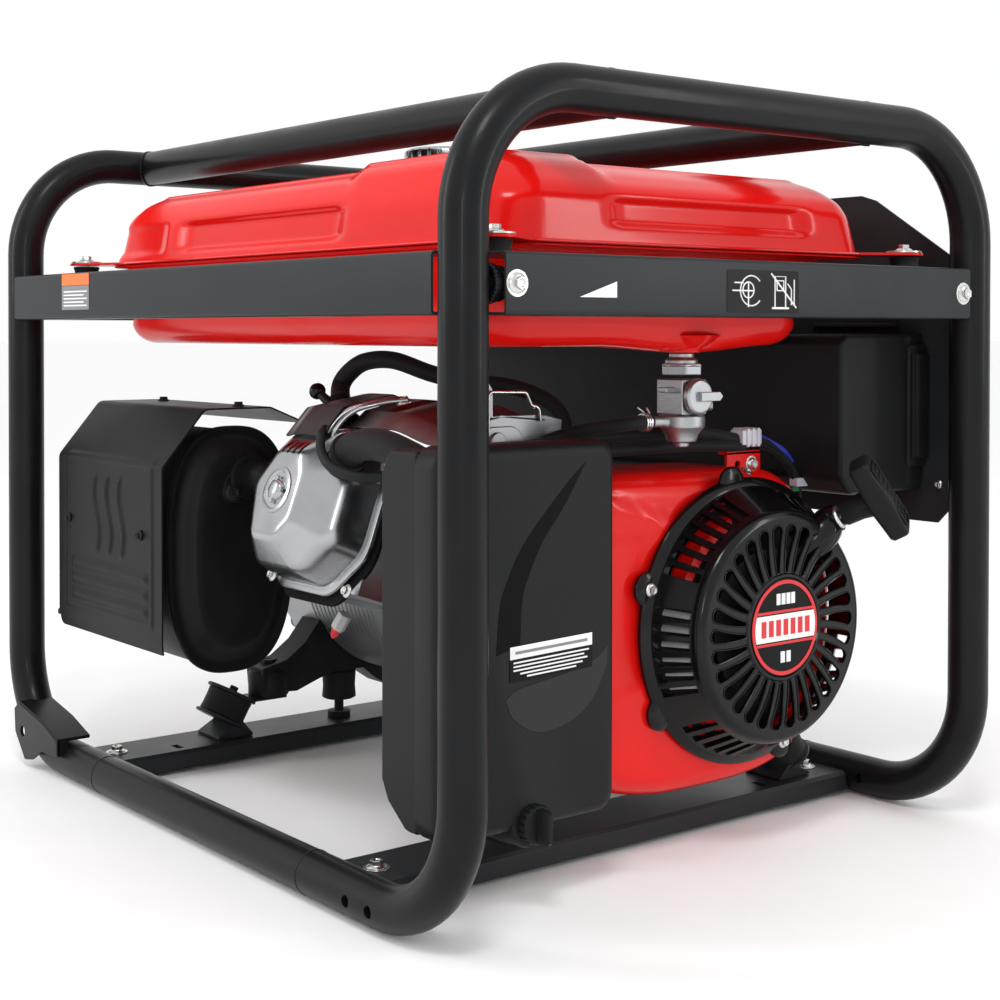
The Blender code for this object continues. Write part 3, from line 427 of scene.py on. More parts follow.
def polished(node, bevel=0.8):
    """A CAD node's own shape with clean shading and softened edges."""
    bm = bmesh.new()
    bm.from_mesh(frame["nodes"][node].data)
    bmesh.ops.remove_doubles(bm, verts=bm.verts, dist=0.00002)
    bmesh.ops.dissolve_limit(bm, angle_limit=0.01, verts=bm.verts, edges=bm.edges)
    mesh = bpy.data.meshes.new(node)
    bm.to_mesh(mesh)
    bm.free()
    return piece(node + "_skin", mesh, SLOT_OF[node], node, angle=32, bevel=bevel)


def lean(along, up, x=0.0):
    """The point this far along the cylinder from the crankshaft, and this far above its axis."""
    y = CRANK.y - along * math.cos(LEAN) + up * math.sin(LEAN)
    z = CRANK.z + along * math.sin(LEAN) + up * math.cos(LEAN)
    return Vector((CYLINDER_X + x, y, z))


def hexagon(centre, axis, across, height):
    return lathe([(0, across / 2 / math.cos(math.pi / 6)), (height, across / 2 / math.cos(math.pi / 6))],
            centre, axis, 6)


def bolt(name, spot, axis, size=6.0, washer=True, look="zinc"):
    """A flange bolt: a washer face, a hexagonal head with a dished top, and the flange under it."""
    spot, axis = Vector(spot), Vector(axis).normalized()
    flange = lathe([(0, size * 1.45), (0.6, size * 1.5), (1.6, size * 1.25), (2.2, size * 1.0)], spot,
            axis, 40)
    head = hexagon(spot + axis * 1.5, axis, size * 1.7, size * 0.75)
    dish = lathe([(0, size * 0.45), (1.0, size * 0.62)], spot + axis * (1.5 + size * 0.75 - 0.8), axis,
            24)
    head = carved(head, dish)
    parts = [flange, head]
    if washer:
        parts.append(lathe([(-0.6, size * 1.9), (0.3, size * 1.9)], spot, axis, 40))
    return piece(name, joined(*parts), look, bevel=0.35)


# Frame

def hoop_path(side, steps=18):
    x, seam = side * HX, side * (SEAM_X + 0.2)
    corners = [(seam, -HY, LOW), (x, -HY, LOW), (x, -HY, TOP), (x, HY, TOP), (x, HY, LOW),
            (seam, HY, LOW)]
    return rounded_path(corners, BEND_R, steps)


def weld(name, centre, axis, radius, thick, beads):
    """A rippled weld bead round a joint."""
    turn = turning(axis)
    path = []
    for i in range(beads * 4 + 1):
        a = math.radians(360 * i / (beads * 4))
        wave = 0.35 * math.sin(i * math.pi / 2) + 0.3 * math.sin(i * 0.37)
        path.append(Vector(centre) + turn @ Vector((math.cos(a), math.sin(a), 0)) * (radius + wave))
    return piece(name, sweep(path, lambda t: thick * (1 + 0.10 * math.sin(t * beads * 6.28)), 10),
            "frame_black", angle=60)


def saddle(side, rail_side):
    """The weld where a top rail meets a hoop: a rippled line along the crossing of the two tubes."""
    x, y = side * HX, rail_side * RAIL_Y
    path = []
    for i in range(161):
        a = 2 * math.pi * i / 160
        v, w = (TUBE_R + 0.4) * math.cos(a), (TUBE_R + 0.4) * math.sin(a)
        depth = math.sqrt(max(0.0, TUBE_R ** 2 - (w * 0.97) ** 2))
        ripple = 0.35 * math.sin(i * 1.3)
        path.append(Vector((x - side * (depth + 0.5 + ripple), y + v * 1.02, TOP + w * 0.96)))
    name = f"rail_weld_{'front' if side > 0 else 'rear'}_{hand(rail_side)}"
    piece(name, sweep(path, 1.5, 8), "frame_black", angle=60)


def make_frame():
    for name, side in (("hoop_front", 1), ("hoop_rear", -1)):
        tube = sweep(hoop_path(side), TUBE_R, 48)
        holes = []
        if side > 0:
            for x, y, depth in ((230, -HY, -1), (257, -HY, -1), (214, HY, 1), (240, HY, 1)):
                holes.append(rod((x, y + depth * 9, LOW), (x, y + depth * 20, LOW), 4.2, 24))
                holes.append(rod((x, y - depth * 9, LOW), (x, y - depth * 20, LOW), 4.2, 24))
            for y in (HY, -HY):
                holes.append(rod((HX - 20, y, 360), (HX - 9, y, 360), 4.2, 24))
        tube = carved(tube, *holes) if holes else tube
        piece(name + "_tube", tube, "frame_black", name, angle=40)
        for y in (-1, 1):
            tab = lathe([(0, 11), (0.4, 13), (3.6, 13), (4, 12)], (side * HX, y * (HY - 17), BEAM_Z),
                    (0, -y, 0), 40)
            stub = rod((side * HX, y * (HY - 12), BEAM_Z), (side * HX, y * (HY - 29), BEAM_Z), 7.5)
            rim = lathe([(0, 9), (0.5, 11.5), (4, 11.5), (5, 10)], (side * HX, y * (HY - 23.5), BEAM_Z),
                    (0, -y, 0), 40)
            tag = hand(y)
            piece(f"{name}_lug_{tag}", joined(tab, stub, rim), "frame_black", bevel=0.4)
            weld(f"{name}_lug_weld_{tag}", (side * HX, y * (HY - 16.5), BEAM_Z), (0, 1, 0), 12.2, 1.6, 30)
            seam = lathe([(-1.2, 15.9), (-0.6, 16.35), (0.6, 16.35), (1.2, 15.9)],
                         (side * (SEAM_X + 1), y * HY, LOW), (1, 0, 0), 48)
            piece(f"{name}_seam_{tag}", seam, "frame_black", angle=80)
    for name, side in (("bottom_rail_left", -1), ("bottom_rail_right", 1)):
        piece(name + "_tube", rod((-SEAM_X + 0.2, side * HY, LOW), (SEAM_X - 0.2, side * HY, LOW), TUBE_R,
                48),
              "frame_black", name, bevel=0.3)
    for name, side in (("top_rail_left", -1), ("top_rail_right", 1)):
        y = side * RAIL_Y
        tube = rod((-HX, y, TOP), (HX, y, TOP), TUBE_R, 48)
        ends = [rod((x, y - 40, TOP), (x, y + 40, TOP), TUBE_R + 0.3, 48) for x in (-HX, HX)]
        piece(name + "_tube", carved(tube, *ends), "frame_black", name, angle=40)
        for end in (-1, 1):
            saddle(end, side)


def channel(axis, face, inner, low, high, z0, z1, wall=2.5, radius=3.2):
    """A rolled steel channel: a web on the face and two flanges, with rounded bends."""
    d = 1 if face > inner else -1
    outline = []
    for cx, cz, start in ((face - d * radius, z1 - radius, 90), (face - d * radius, z0 + radius, 0)):
        for i in range(7):
            a = math.radians(start - 15 * i)
            outline.append((cx + d * radius * math.cos(a), cz + radius * math.sin(a)))
    inside = []
    r = radius - wall + 0.6
    for cx, cz, start in ((face - d * radius, z0 + radius, -90), (face - d * radius, z1 - radius, 0)):
        for i in range(7):
            a = math.radians(start + 15 * i)
            inside.append((cx + d * r * math.cos(a), cz + r * math.sin(a)))
    ring = [(inner, z1)] + outline + [(inner, z0), (inner, z0 + wall)] + inside + [(inner, z1 - wall)]
    if axis == "y":
        return rings([[(u, w, z) for u, z in ring] for w in (low, high)])
    return rings([[(w, u, z) for u, z in ring] for w in (low, high)])


def make_beams():
    for name, side in (("end_beam_front", 1), ("end_beam_rear", -1)):
        face, inner = side * BEAM_FACE, side * 300
        beam = channel("y", face, inner, -234, 234, BEAM_LOW, BEAM_HIGH)
        cuts = []
        for sy in (-1, 1):
            cuts.append(rod((side * HX, sy * (HY - 5), BEAM_Z), (side * HX, sy * 225.6, BEAM_Z), 13.3,
                    40))
            cuts.append(rod((side * HX, sy * HY, 380), (side * HX, sy * HY, 470), TUBE_R + 4, 40))
        piece(name + "_channel", carved(beam, *cuts), "beam_black", name, bevel=0.4)
        for sy in (-1, 1):
            bolt(f"{name}_bolt_{hand(sy)}", (face, sy * 225, BEAM_Z), (side, 0, 0), 4.6)
    beam = channel("x", -271, -245, -328, 328, BEAM_LOW, BEAM_HIGH)
    cuts = [rod((s * HX, -HY, 380), (s * HX, -HY, 470), TUBE_R + 0.4, 48) for s in (-1, 1)]
    piece("side_beam_channel", carved(beam, *cuts), "beam_black", "side_beam", bevel=0.4)
    for name, x in (("cross_beam_front", FRONT_BEAM_X), ("cross_beam_rear", REAR_BEAM_X)):
        outline = [(x - 32, 4), (x - 32, 17), (x - 29.5, 20), (x + 29.5, 20), (x + 32, 17), (x + 32, 4),
                (x + 29, 4),
                   (x + 29, 15.5), (x + 27.5, 17), (x - 27.5, 17), (x - 29, 15.5), (x - 29, 4)]
        beam = rings([[(u, w, v) for u, v in outline] for w in (-HY, HY)])
        cuts = [rod((x - 60, s * HY, LOW), (x + 60, s * HY, LOW), TUBE_R + 0.3, 48) for s in (-1, 1)]
        for y in (-170, 150):
            cuts.append(box(x + 8, x + 22, y - 3, y + 3, 10, 30))
        piece(name + "_channel", carved(beam, *cuts), "beam_black", name, bevel=0.4)
        for s in (-1, 1):
            bolt(f"{name}_bolt_{hand(s)}", (x, s * 222, 20.6), (0, 0, 1), 5.0)


def corner_bracket(side):
    """The folded plate wrapped round the low rear corner of the hoop."""
    y = side * 275
    outline = [(-322, 49), (-311, 57), (-262, 48), (-226, 37), (-226, 22), (-262, 20), (-282, 9),
            (-298, 6), (-320, 28)]
    plate = prism(outline, "y", y, y - side * 3)
    plate = carved(plate, rod((-303, y - 9, 31), (-303, y + 9, 31), 4.6))
    top = rings([[(-312, w, 54.5), (-262, w, 45.5), (-227, w, 34.5), (-226, w, 37.5), (-262, w, 48.5),
            (-311, w, 57.5)] for w in (y, side * 244)])
    end = rings([[(-228.5, w, 36), (-226, w, 37), (-226, w, 22), (-228.5, w, 23)] for w in (y,
            side * 264)])
    tag = hand(side)
    piece(f"corner_bracket_{tag}", joined(plate, top, end), "frame_black", bevel=0.8)


# Tank

def outline_ring(half_x, half_y, radius, z, count=360, centre=(0, 0), flat=0.35):
    """A rounded rectangle whose corners are part arc and part straight cut, with evenly spread points."""
    corner = []
    for sx, sy, start in ((1, 1, 0), (-1, 1, 90), (-1, -1, 180), (1, -1, 270)):
        cx, cy = sx * (half_x - radius), sy * (half_y - radius)
        ends = [Vector((cx + radius * math.cos(math.radians(start + t)),
                cy + radius * math.sin(math.radians(start + t))))
                for t in (0, 90)]
        for i in range(17):
            a = math.radians(start + 90 * i / 16)
            arc = Vector((cx + radius * math.cos(a), cy + radius * math.sin(a)))
            corner.append(arc.lerp(ends[0].lerp(ends[1], i / 16), flat))
    return [Vector((p.x + centre[0], p.y + centre[1], z)) for p in evenly(corner, count)]


def profile_at(stops, z):
    """The inset values at this height, on straight lines between the stops."""
    for (z0, a), (z1, b) in zip(stops, stops[1:]):
        if z <= z1:
            t = (z - z0) / (z1 - z0)
            return [u + (v - u) * t for u, v in zip(a, b)]
    return stops[-1][1]


def tank_shape(p):
    """Moves a point of the tank's upper skin in for the pressed panels and out for the raised corner."""
    out = Vector((0, 0, 0))
    side = window(p.z, 461, 494, 9)
    if p.y < -150:
        panel = window(p.x, -170, 112, 30) * side
        out.y += 6.0 * panel
        rear = window(p.x, -290, -178, 12) * side
        out.y += 3.4 * rear
    if p.y > 150:
        out.y -= 4.0 * window(p.x, -170, 200, 26) * side
    if p.x > 250:
        panel = window(p.y, -97, 122, 22) * window(p.z, 467, 493, 8)
        out.x -= 6.0 * panel
    if p.x < -250:
        out.x += 4.0 * window(p.y, -130, 130, 22) * side
    block = step_between(86, 104, p.x + (518 - p.z) * -0.45) * step_between(74, 90, -p.y)
    out.z += 5.5 * block * step_between(496, 514, p.z)
    return p + out


def stretched(p):
    """The tank reaches a little further back than forward."""
    return Vector((p.x - 9 * step_between(-60, -290, p.x), p.y, p.z)) if p.x < -60 else p


def make_tank():
    stops = [(458.5, (0, 0, 34)), (488, (5, 5, 34)), (499, (11, 9.5, 34)), (510, (29, 17, 30)),
            (518, (52, 30, 26))]
    levels = [458.5 + (518 - 458.5) * i / 44 for i in range(45)]
    soft = []
    for z in levels:
        total = [0.0, 0.0, 0.0]
        for dz in (-3, -1.5, 0, 1.5, 3):
            for k, v in enumerate(profile_at(stops, min(518, max(458.5, z + dz)))):
                total[k] += v / 5
        soft.append((z, total))
    sections = [outline_ring(296 - a, 194 - b, r, z) for z, (a, b, r) in soft]
    last = soft[-1][1]
    for step, drop in ((4, 0.9), (9, 1.3), (16, 1.5), (30, 1.6), (60, 1.6), (105, 1.6), (128, 1.6)):
        sections.append(outline_ring(296 - last[0] - step, max(10, 194 - last[1] - step), 24,
                517.2 + drop))
    flange = [outline_ring(300, 198, 36, 456.2), outline_ring(302, 200, 37, 457.0),
            outline_ring(301, 199, 37, 458.3),
              outline_ring(297.5, 195.5, 35, 458.9)]
    shell = rings([[stretched(p) for p in ring] for ring in flange + [[tank_shape(p) for p in ring] for ring in sections]])
    piece("tank_upper_skin", shell, "tank_red", "tank_upper", angle=50)
    for sx in (-1, 1):
        for sy in (-1, 1):
            make_ear(sx, sy)
    ribs = []
    for x in (-60, 150):
        ribs.append(sweep(smooth_line([(x, -120, 518.2), (x + 6, 0, 518.8), (x, 120, 518.2)], 12), 3.0,
                12))
    piece("tank_top_ribs", joined(*ribs), "tank_red", angle=60)
    make_tank_lower()
    make_filler()


def make_ear(sx, sy):
    """The long flat tab that carries the tank at a corner, with its washer, bolt and rubber bush."""
    spot = Vector((sx * 311, sy * 208, 456.4))
    name = f"{'front' if sx > 0 else 'rear'}_{hand(sy)}"
    root = Vector((sx * 262, sy * 168, 456.4))
    way = (spot - root).normalized()
    side = Vector((-way.y, way.x, 0))
    ring = [root - side * 34, spot - side * 15]
    for i in range(1, 12):
        a = -math.pi / 2 + math.pi * i / 12
        ring.append(spot + way * 15 * math.cos(a) + side * 15 * math.sin(a))
    ring += [spot + side * 15, root + side * 34]
    tab = rings([ring, [p + Vector((0, 0, 2.2)) for p in ring]])
    tab = carved(tab, rod(spot - Vector((0, 0, 5)), spot + Vector((0, 0, 9)), 4.6))
    piece(f"tank_ear_{name}", tab, "tank_red", bevel=0.6)
    bush = lathe([(0, 11), (0.6, 12), (4.2, 10.6), (8.6, 12), (9.2, 11)], (spot.x, spot.y, 446.4),
            (0, 0, 1), 48)
    piece(f"tank_bush_{name}", bush, "rubber_black", f"tank_mount_{name}", angle=50)
    collar = lathe([(0, 13.5), (0.3, 14), (1.4, 14), (1.7, 13.2)], (spot.x, spot.y, 458.8), (0, 0, 1), 48)
    piece(f"tank_washer_{name}", collar, "zinc", angle=50)
    bolt(f"tank_bolt_{name}", (spot.x, spot.y, 460.6), (0, 0, 1), 4.6, washer=False)


def make_tank_lower():
    rows = [(299, 197, 36, 455.6, (0, 0)), (299.5, 197.5, 36, 454.4, (0, 0)),
            (298, 196, 36, 453.8, (0, 0)),
            (280, 180, 36, 453.2, (0, -14)), (274, 176, 34, 450, (0, -20)), (272.5, 174.5, 34, 446,
                    (0, -20))]
    for i in range(10):
        t = i / 9
        rows.append((272 - 4 * t, 174 - 2 * t, 34, 444 - 38 * t, (0, -20 - t)))
    for i in range(1, 11):
        a = math.pi / 2 * i / 10
        rows.append((268 - 17 * (1 - math.cos(a)), 172 - 17 * (1 - math.cos(a)), 32,
                405 - 20 * math.sin(a), (0, -21)))
    for inset in (8, 30, 70, 120):
        rows.append((251 - inset, max(30, 155 - inset), 22, 385, (0, -21)))
    sections = [outline_ring(a, b, r, z, 300, c) for a, b, r, z, c in rows]

    def shaped(p):
        dish = Vector((p.x - 246, (p.y - 24) * 0.8, 0)).length
        sump = 1 - step_between(6, 74, dish)
        low = step_between(408, 392, p.z) if p.z < 408 else 0.0
        press = window(p.x, 20, 400, 40) * step_between(440, 400, p.z) if p.z < 440 else 0
        return p + Vector((0, (1.8 if p.y < -150 else 0) * press, -5.0 * sump * low))

    shell = rings([[stretched(shaped(p)) for p in ring] for ring in sections])
    piece("tank_lower_skin", shell, "tank_red", "tank_lower", angle=50)
    neck = lathe([(0, 30), (5, 24), (9, 17), (12, 14.5), (13, 14.5)], (246, 24, 393), (0, 0, -1), 48)
    piece("tank_sump", neck, "tank_red", angle=60)


def make_filler():
    x, y = 75, -74
    neck = lathe([(0, 38), (2, 35), (5, 29), (10, 27)], (x, y, 517.5), (0, 0, 1), 64)
    piece("filler_collar", neck, "tank_red", angle=60)
    body = [(0, 31), (0.5, 33.4), (14, 33.4), (15.6, 32.4), (17, 30), (17.4, 26), (17.4, 1)]
    cap = lathe(body, (x, y, 525), (0, 0, 1), 96)
    cuts = []
    for i in range(24):
        a = 2 * math.pi * i / 24
        cuts.append(rod((x + 35 * math.cos(a), y + 35 * math.sin(a), 520),
                (x + 35 * math.cos(a), y + 35 * math.sin(a), 541), 2.4, 16))
    cap = carved(cap, *cuts)
    bar = box(x - 24, x + 24, y - 4, y + 4, 541, 543.9)
    piece("fuel_cap_skin", joined(cap, bar), "bright_steel", "fuel_cap", bevel=0.5)
    gauge = lathe([(0, 24), (1, 23.5), (5, 22), (6, 20)], (-95, -60, 518), (0, 0, 1), 64)
    piece("fuel_gauge_bezel", gauge, "plastic_black", angle=50)
    glass = lathe([(0, 18), (1.2, 17.5), (1.8, 15)], (-95, -60, 524), (0, 0, 1), 48)
    piece("fuel_gauge_lens", glass, INK_WHITE, angle=60)
    needle = box(-96, -94, -74, -56, 525.8, 526.3)
    piece("fuel_gauge_needle", needle, INK_RED)


# Cooling blower and starter

def ring_on(centre, radius, angle, x):
    """A point at this angle round the crankshaft line. Angle 0 is up and 90 is towards +Y."""
    a = math.radians(angle)
    return Vector((x, centre.y + radius * math.sin(a), centre.z + radius * math.cos(a)))


BLOWER = [(-78, 70), (-50, 54), (-8, 45), (40, 43), (88, 44), (126, 51), (156, 70), (180, 104),
        (189, 140), (190, 190),
          (180, 230), (158, 262), (136, 280), (108, 287), (40, 289), (-30, 290), (-64, 288), (-77,
                  276), (-78, 250),
          (-78, 190), (-78, 120)]


def make_blower():
    loop = [Vector((0, y, z)) for y, z in BLOWER]
    loop = smooth_line(loop[-2:] + loop + loop[:2], 10)[20:-30]
    count = 300
    outline = evenly(loop, count)
    middle = Vector((0, 68, 170))

    def emboss(p):
        out = Vector(p)
        crease = step_between(-3, 3, (p.z - 262) + (p.y + 20) * 0.30)
        if p.x > 236:
            out.x -= 3.0 * crease
        wedge = window(p.y, -70, -14, 8) * window(p.z - (p.y + 70) * 0.25, 120, 246, 10)
        if p.x > 250:
            out.x -= 2.4 * wedge
        return out

    rows = []
    stations = [(172.0, 0.0), (174.0, 0.0)] + [(180 + 10 * i, 0.0) for i in range(5)]
    for i in range(1, 13):
        a = math.pi / 2 * i / 12
        stations.append((238 + 22 * math.sin(a), 22 * (1 - math.cos(a))))
    for x, drop in stations:
        ring = []
        for p in outline:
            q = p.lerp(middle, drop / max(1.0, (p - middle).length))
            ring.append(Vector((x, q.y, q.z)))
        rows.append(ring)
    inner = []
    for i in range(count):
        base = rows[-1][i]
        way = (Vector((0, base.y, base.z)) - Vector((0, CRANK.y, CRANK.z))).normalized()
        inner.append(Vector((261.4, CRANK.y, CRANK.z)) + way * 93)
    for t in (0.12, 0.3, 0.5, 0.7, 0.88):
        rows.append([a.lerp(Vector((261.4, b.y, b.z)), t) for a,
                b in zip(rows[-1 if t == 0.12 else 18], inner)])
    rows.append(inner)
    rows = [[emboss(p) for p in ring] for ring in rows]
    back = [[Vector((p.x - 2.5, p.y, p.z)) for p in inner]]
    for ring in (rows[18], rows[10], rows[6], rows[0]):
        back.append([Vector((p.x - (2.5 if p.x > 200 else 0),
                *(Vector((p.y, p.z)).lerp(Vector((middle.y, middle.z)), 0.024)))) for p in ring])
    shell = rings(rows + back, closed=True)
    piece("blower_shell", shell, "tank_red", "blower_housing", angle=60)
    lip = lathe([(0, 93), (0, 96.5), (1.0, 97.5), (2.2, 97), (2.2, 93)], (260.2, CRANK.y, CRANK.z),
            (1, 0, 0), 96, closed=True)
    piece("blower_lip", lip, "tank_red", angle=50)
    bracket = [(236, 268), (236, 300), (233.4, 300), (233.4, 268)]
    plate = rings([[(x, y, z) for x, z in bracket] for y in (84, 122)])
    shelf = box(226, 236, 84, 122, 298, 300.5)
    plate = carved(plate, rod((220, 96, 290), (250, 96, 290), 3.2),
            rod((220, 112, 290), (250, 112, 290), 3.2))
    piece("blower_bracket", joined(plate, shelf), "tank_red", bevel=0.5)
    bolt("blower_bracket_bolt", (236, 112, 290), (1, 0, 0), 3.4)
    bolt("blower_top_bolt", (245, 96, 283), (0.8, 0, 0.6), 3.6)


def teardrop(angle, swirl=3.5, inner=42.0, outer=72.5):
    """The outline of one cooling slot: narrow towards the hub, round and wide at the rim, and slightly curved."""
    left, right = [], []
    for i in range(9):
        t = i / 8
        r = inner + (outer - inner) * t
        mid = angle + swirl * (t ** 1.4)
        spread = math.degrees((1.6 + 3.8 * t) / r)
        left.append((r, mid - spread))
        right.append((r, mid + spread))
    cap = []
    for i in range(1, 8):
        a = math.pi * i / 8
        cap.append((outer + 5.0 * math.sin(a), angle + swirl - math.degrees(5.4 * math.cos(a) / outer)))
    return left + cap + right[::-1]


def slot_solid(outline, x0, x1):
    pts = []
    for r, a in outline:
        a = math.radians(a)
        pts.append((CRANK.y + r * math.sin(a), CRANK.z + r * math.cos(a)))
    return prism(pts, "x", x0, x1)


def make_recoil():
    face = 305
    outer = [(262.3, 111), (265.2, 111), (267.0, 109.5), (269.5, 104.5), (273, 102.4), (296, 90.2)]
    for i in range(1, 8):
        a = math.pi / 2 * i / 7
        outer.append((296 + 9 * math.sin(a), 90 - 7.5 * (1 - math.cos(a)) - 0.2))
    outer += [(face, 60), (face, 41), (face + 1.2, 40), (face + 1.2, 38), (face, 37), (face, 2)]
    inside = [(302.2, 2), (302.2, 80), (295, 87), (272, 98), (268, 100), (262.3, 100)]
    shell = lathe(outer + inside, (0, CRANK.y, CRANK.z), (1, 0, 0), 128, caps=False, closed=True)
    slots = [slot_solid(teardrop(12.0 * i + 3), 290, 320) for i in range(30)]
    side_slots = []
    groups = (range(-62, -18, 7), range(-115, -76, 7), range(-164, -132, 7), range(16, 60, 7),
            range(104, 150, 7))
    for group in groups:
        for a in group:
            r0, r1 = math.radians(a - 2.1), math.radians(a + 2.1)
            tool = []
            for x in (270.5, 295.5):
                ring = []
                for r, t in ((78, r0), (125, r0), (125, r1), (78, r1)):
                    ring.append((x, CRANK.y + r * math.sin(t), CRANK.z + r * math.cos(t)))
                tool.append(ring)
            side_slots.append(rings(tool))
    shell = carved(shell, joined(*slots))
    shell = carved(shell, joined(*side_slots))
    piece("recoil_shell", shell, "gloss_black", "recoil_cover", angle=28, bevel=0.7, segments=3)
    ears = []
    for i, angle in enumerate((-8, -72, -124, 158)):
        spot = ring_on(CRANK, 108, angle, 262.6)
        pad = lathe([(0, 13), (2.4, 13), (3.4, 12), (4.6, 8.5), (4.6, 1)], spot, (1, 0, 0), 40)
        ears.append(pad)
        if angle in (-72, 158):
            bolt(f"recoil_bolt_{i}", spot + Vector((4.6, 0, 0)), (1, 0, 0), 3.5, washer=False)
    piece("recoil_ears", joined(*ears), "gloss_black", angle=40)
    rims = []
    for i in range(30):
        line = [ring_on(CRANK, r, a, face + 0.15) for r,
                a in teardrop(12.0 * i + 3, inner=41.4, outer=73.0)]
        rims.append(sweep(line + [line[0]], 0.7, 6))
    piece("recoil_slot_rims", joined(*rims), "gloss_black", angle=60)
    # Painted shade: a thin near-black disc inside the starter cover, in front of the fan, so the view through the
    # slots stays dark
    back = lathe([(258, 30), (258, 96), (259, 96), (259, 30)], (0, CRANK.y, CRANK.z), (1, 0, 0), 64,
            closed=True)
    slats = []
    for a in range(-115, -76, 7):
        p, q = ring_on(CRANK, 94.0, a, 270.5), ring_on(CRANK, 86.0, a, 291)
        slats.append(sweep([p, q], 3.0, 8, 0.6))
    grey = plain("slat_grey", (0.36, 0.36, 0.37), 0.5)
    piece("blower_slats", joined(*slats), grey, angle=40)
    glow = []
    for low, high in ((-66, -20), (-166, -130)):
        outer = [ring_on(CRANK, 88, low + (high - low) * i / 12, 262) for i in range(13)]
        inner = [ring_on(CRANK, 80, low + (high - low) * i / 12, 262) for i in range(12, -1, -1)]
        glow.append(rings([outer + inner, [p + Vector((16, 0, 0)) for p in outer + inner]]))
    piece("blower_red_wall", joined(*glow), "tank_red")
    piece("blower_dark_ring", back, "cast_black")
    make_badge(face)
    make_neck()
    fins = []
    for i in range(24):
        a = 15 * i
        line = [ring_on(CRANK, r, a + (r - 30) * 0.35, 246) for r in range(30, 92, 6)]
        top = [p + Vector((10, 0, 0)) for p in line]
        wide = []
        for p, q in zip(line, top):
            way = Vector((0, -(p.z - CRANK.z), p.y - CRANK.y)).normalized()
            wide.append([p - way, p + way, q + way, q - way])
        fins.append(rings(wide))
    hub = lathe([(240, 30), (247, 91), (250, 91), (250, 24)], (0, CRANK.y, CRANK.z), (1, 0, 0), 64,
            closed=True)
    piece("fan_blades", joined(hub, *fins), GREY_FIN, body="crank", angle=40)
    polished("starter_reel", 0.8)


def disc(x, r0, r1, thick=0.35, count=96):
    return lathe([(0, r0), (0, r1), (thick, r1), (thick, r0)], (x, CRANK.y, CRANK.z), (1, 0, 0), count,
            closed=True)


def chord_band(x, r, z0, z1, thick=0.35):
    """A flat strip across a disc, between two heights."""
    def edge(z, sign):
        return sign * math.sqrt(max(0.0, r * r - z * z))
    upper = [(CRANK.y + edge(z, 1), CRANK.z + z) for z in [z0 + (z1 - z0) * i / 12 for i in range(13)]]
    lower = [(CRANK.y + edge(z, -1), CRANK.z + z) for z in [z1 - (z1 - z0) * i / 12 for i in range(13)]]
    return prism(upper + lower, "x", x, x + thick)


def make_badge(face):
    """A plain round badge: a red ring, a white band across the middle, and small neutral marks."""
    dome = lathe([(0, 37), (0.8, 37), (1.6, 30), (1.9, 12), (2.0, 1)], (face - 0.4, CRANK.y, CRANK.z),
            (1, 0, 0), 96)
    piece("badge_plate", dome, INK_BLACK, angle=60)
    piece("badge_ring", disc(face + 0.9, 33.2, 36.0, 0.5), INK_RED)
    piece("badge_band", chord_band(face + 1.4, 33.0, -9.5, 10.5, 0.45), INK_WHITE)
    piece("badge_lines", joined(chord_band(face + 1.35, 33.2, 11.5, 13.5),
            chord_band(face + 1.35, 33.2, -12.5, -10.5)),
          INK_RED)
    bars = []
    for k, y in enumerate(range(-24, 25, 8)):
        bars.append(box(face + 1.85, face + 2.05, CRANK.y + y - 2.6, CRANK.y + y + 2.6, CRANK.z - 5.6,
                CRANK.z + 6.6))
    piece("badge_bars", joined(*bars), INK_RED)
    marks = []
    for y, z, w in ((-8, 22, 2.0), (-2.6, 22, 2.0), (2.8, 22, 2.0), (8, 22, 2.0), (-3.2, -22, 2.2),
            (3.2, -22, 2.2)):
        marks.append(box(face + 1.4, face + 2.0, CRANK.y + y - w, CRANK.y + y + w, CRANK.z + z - 4.2,
                CRANK.z + z + 4.2))
    piece("badge_marks", joined(*marks), INK_WHITE)


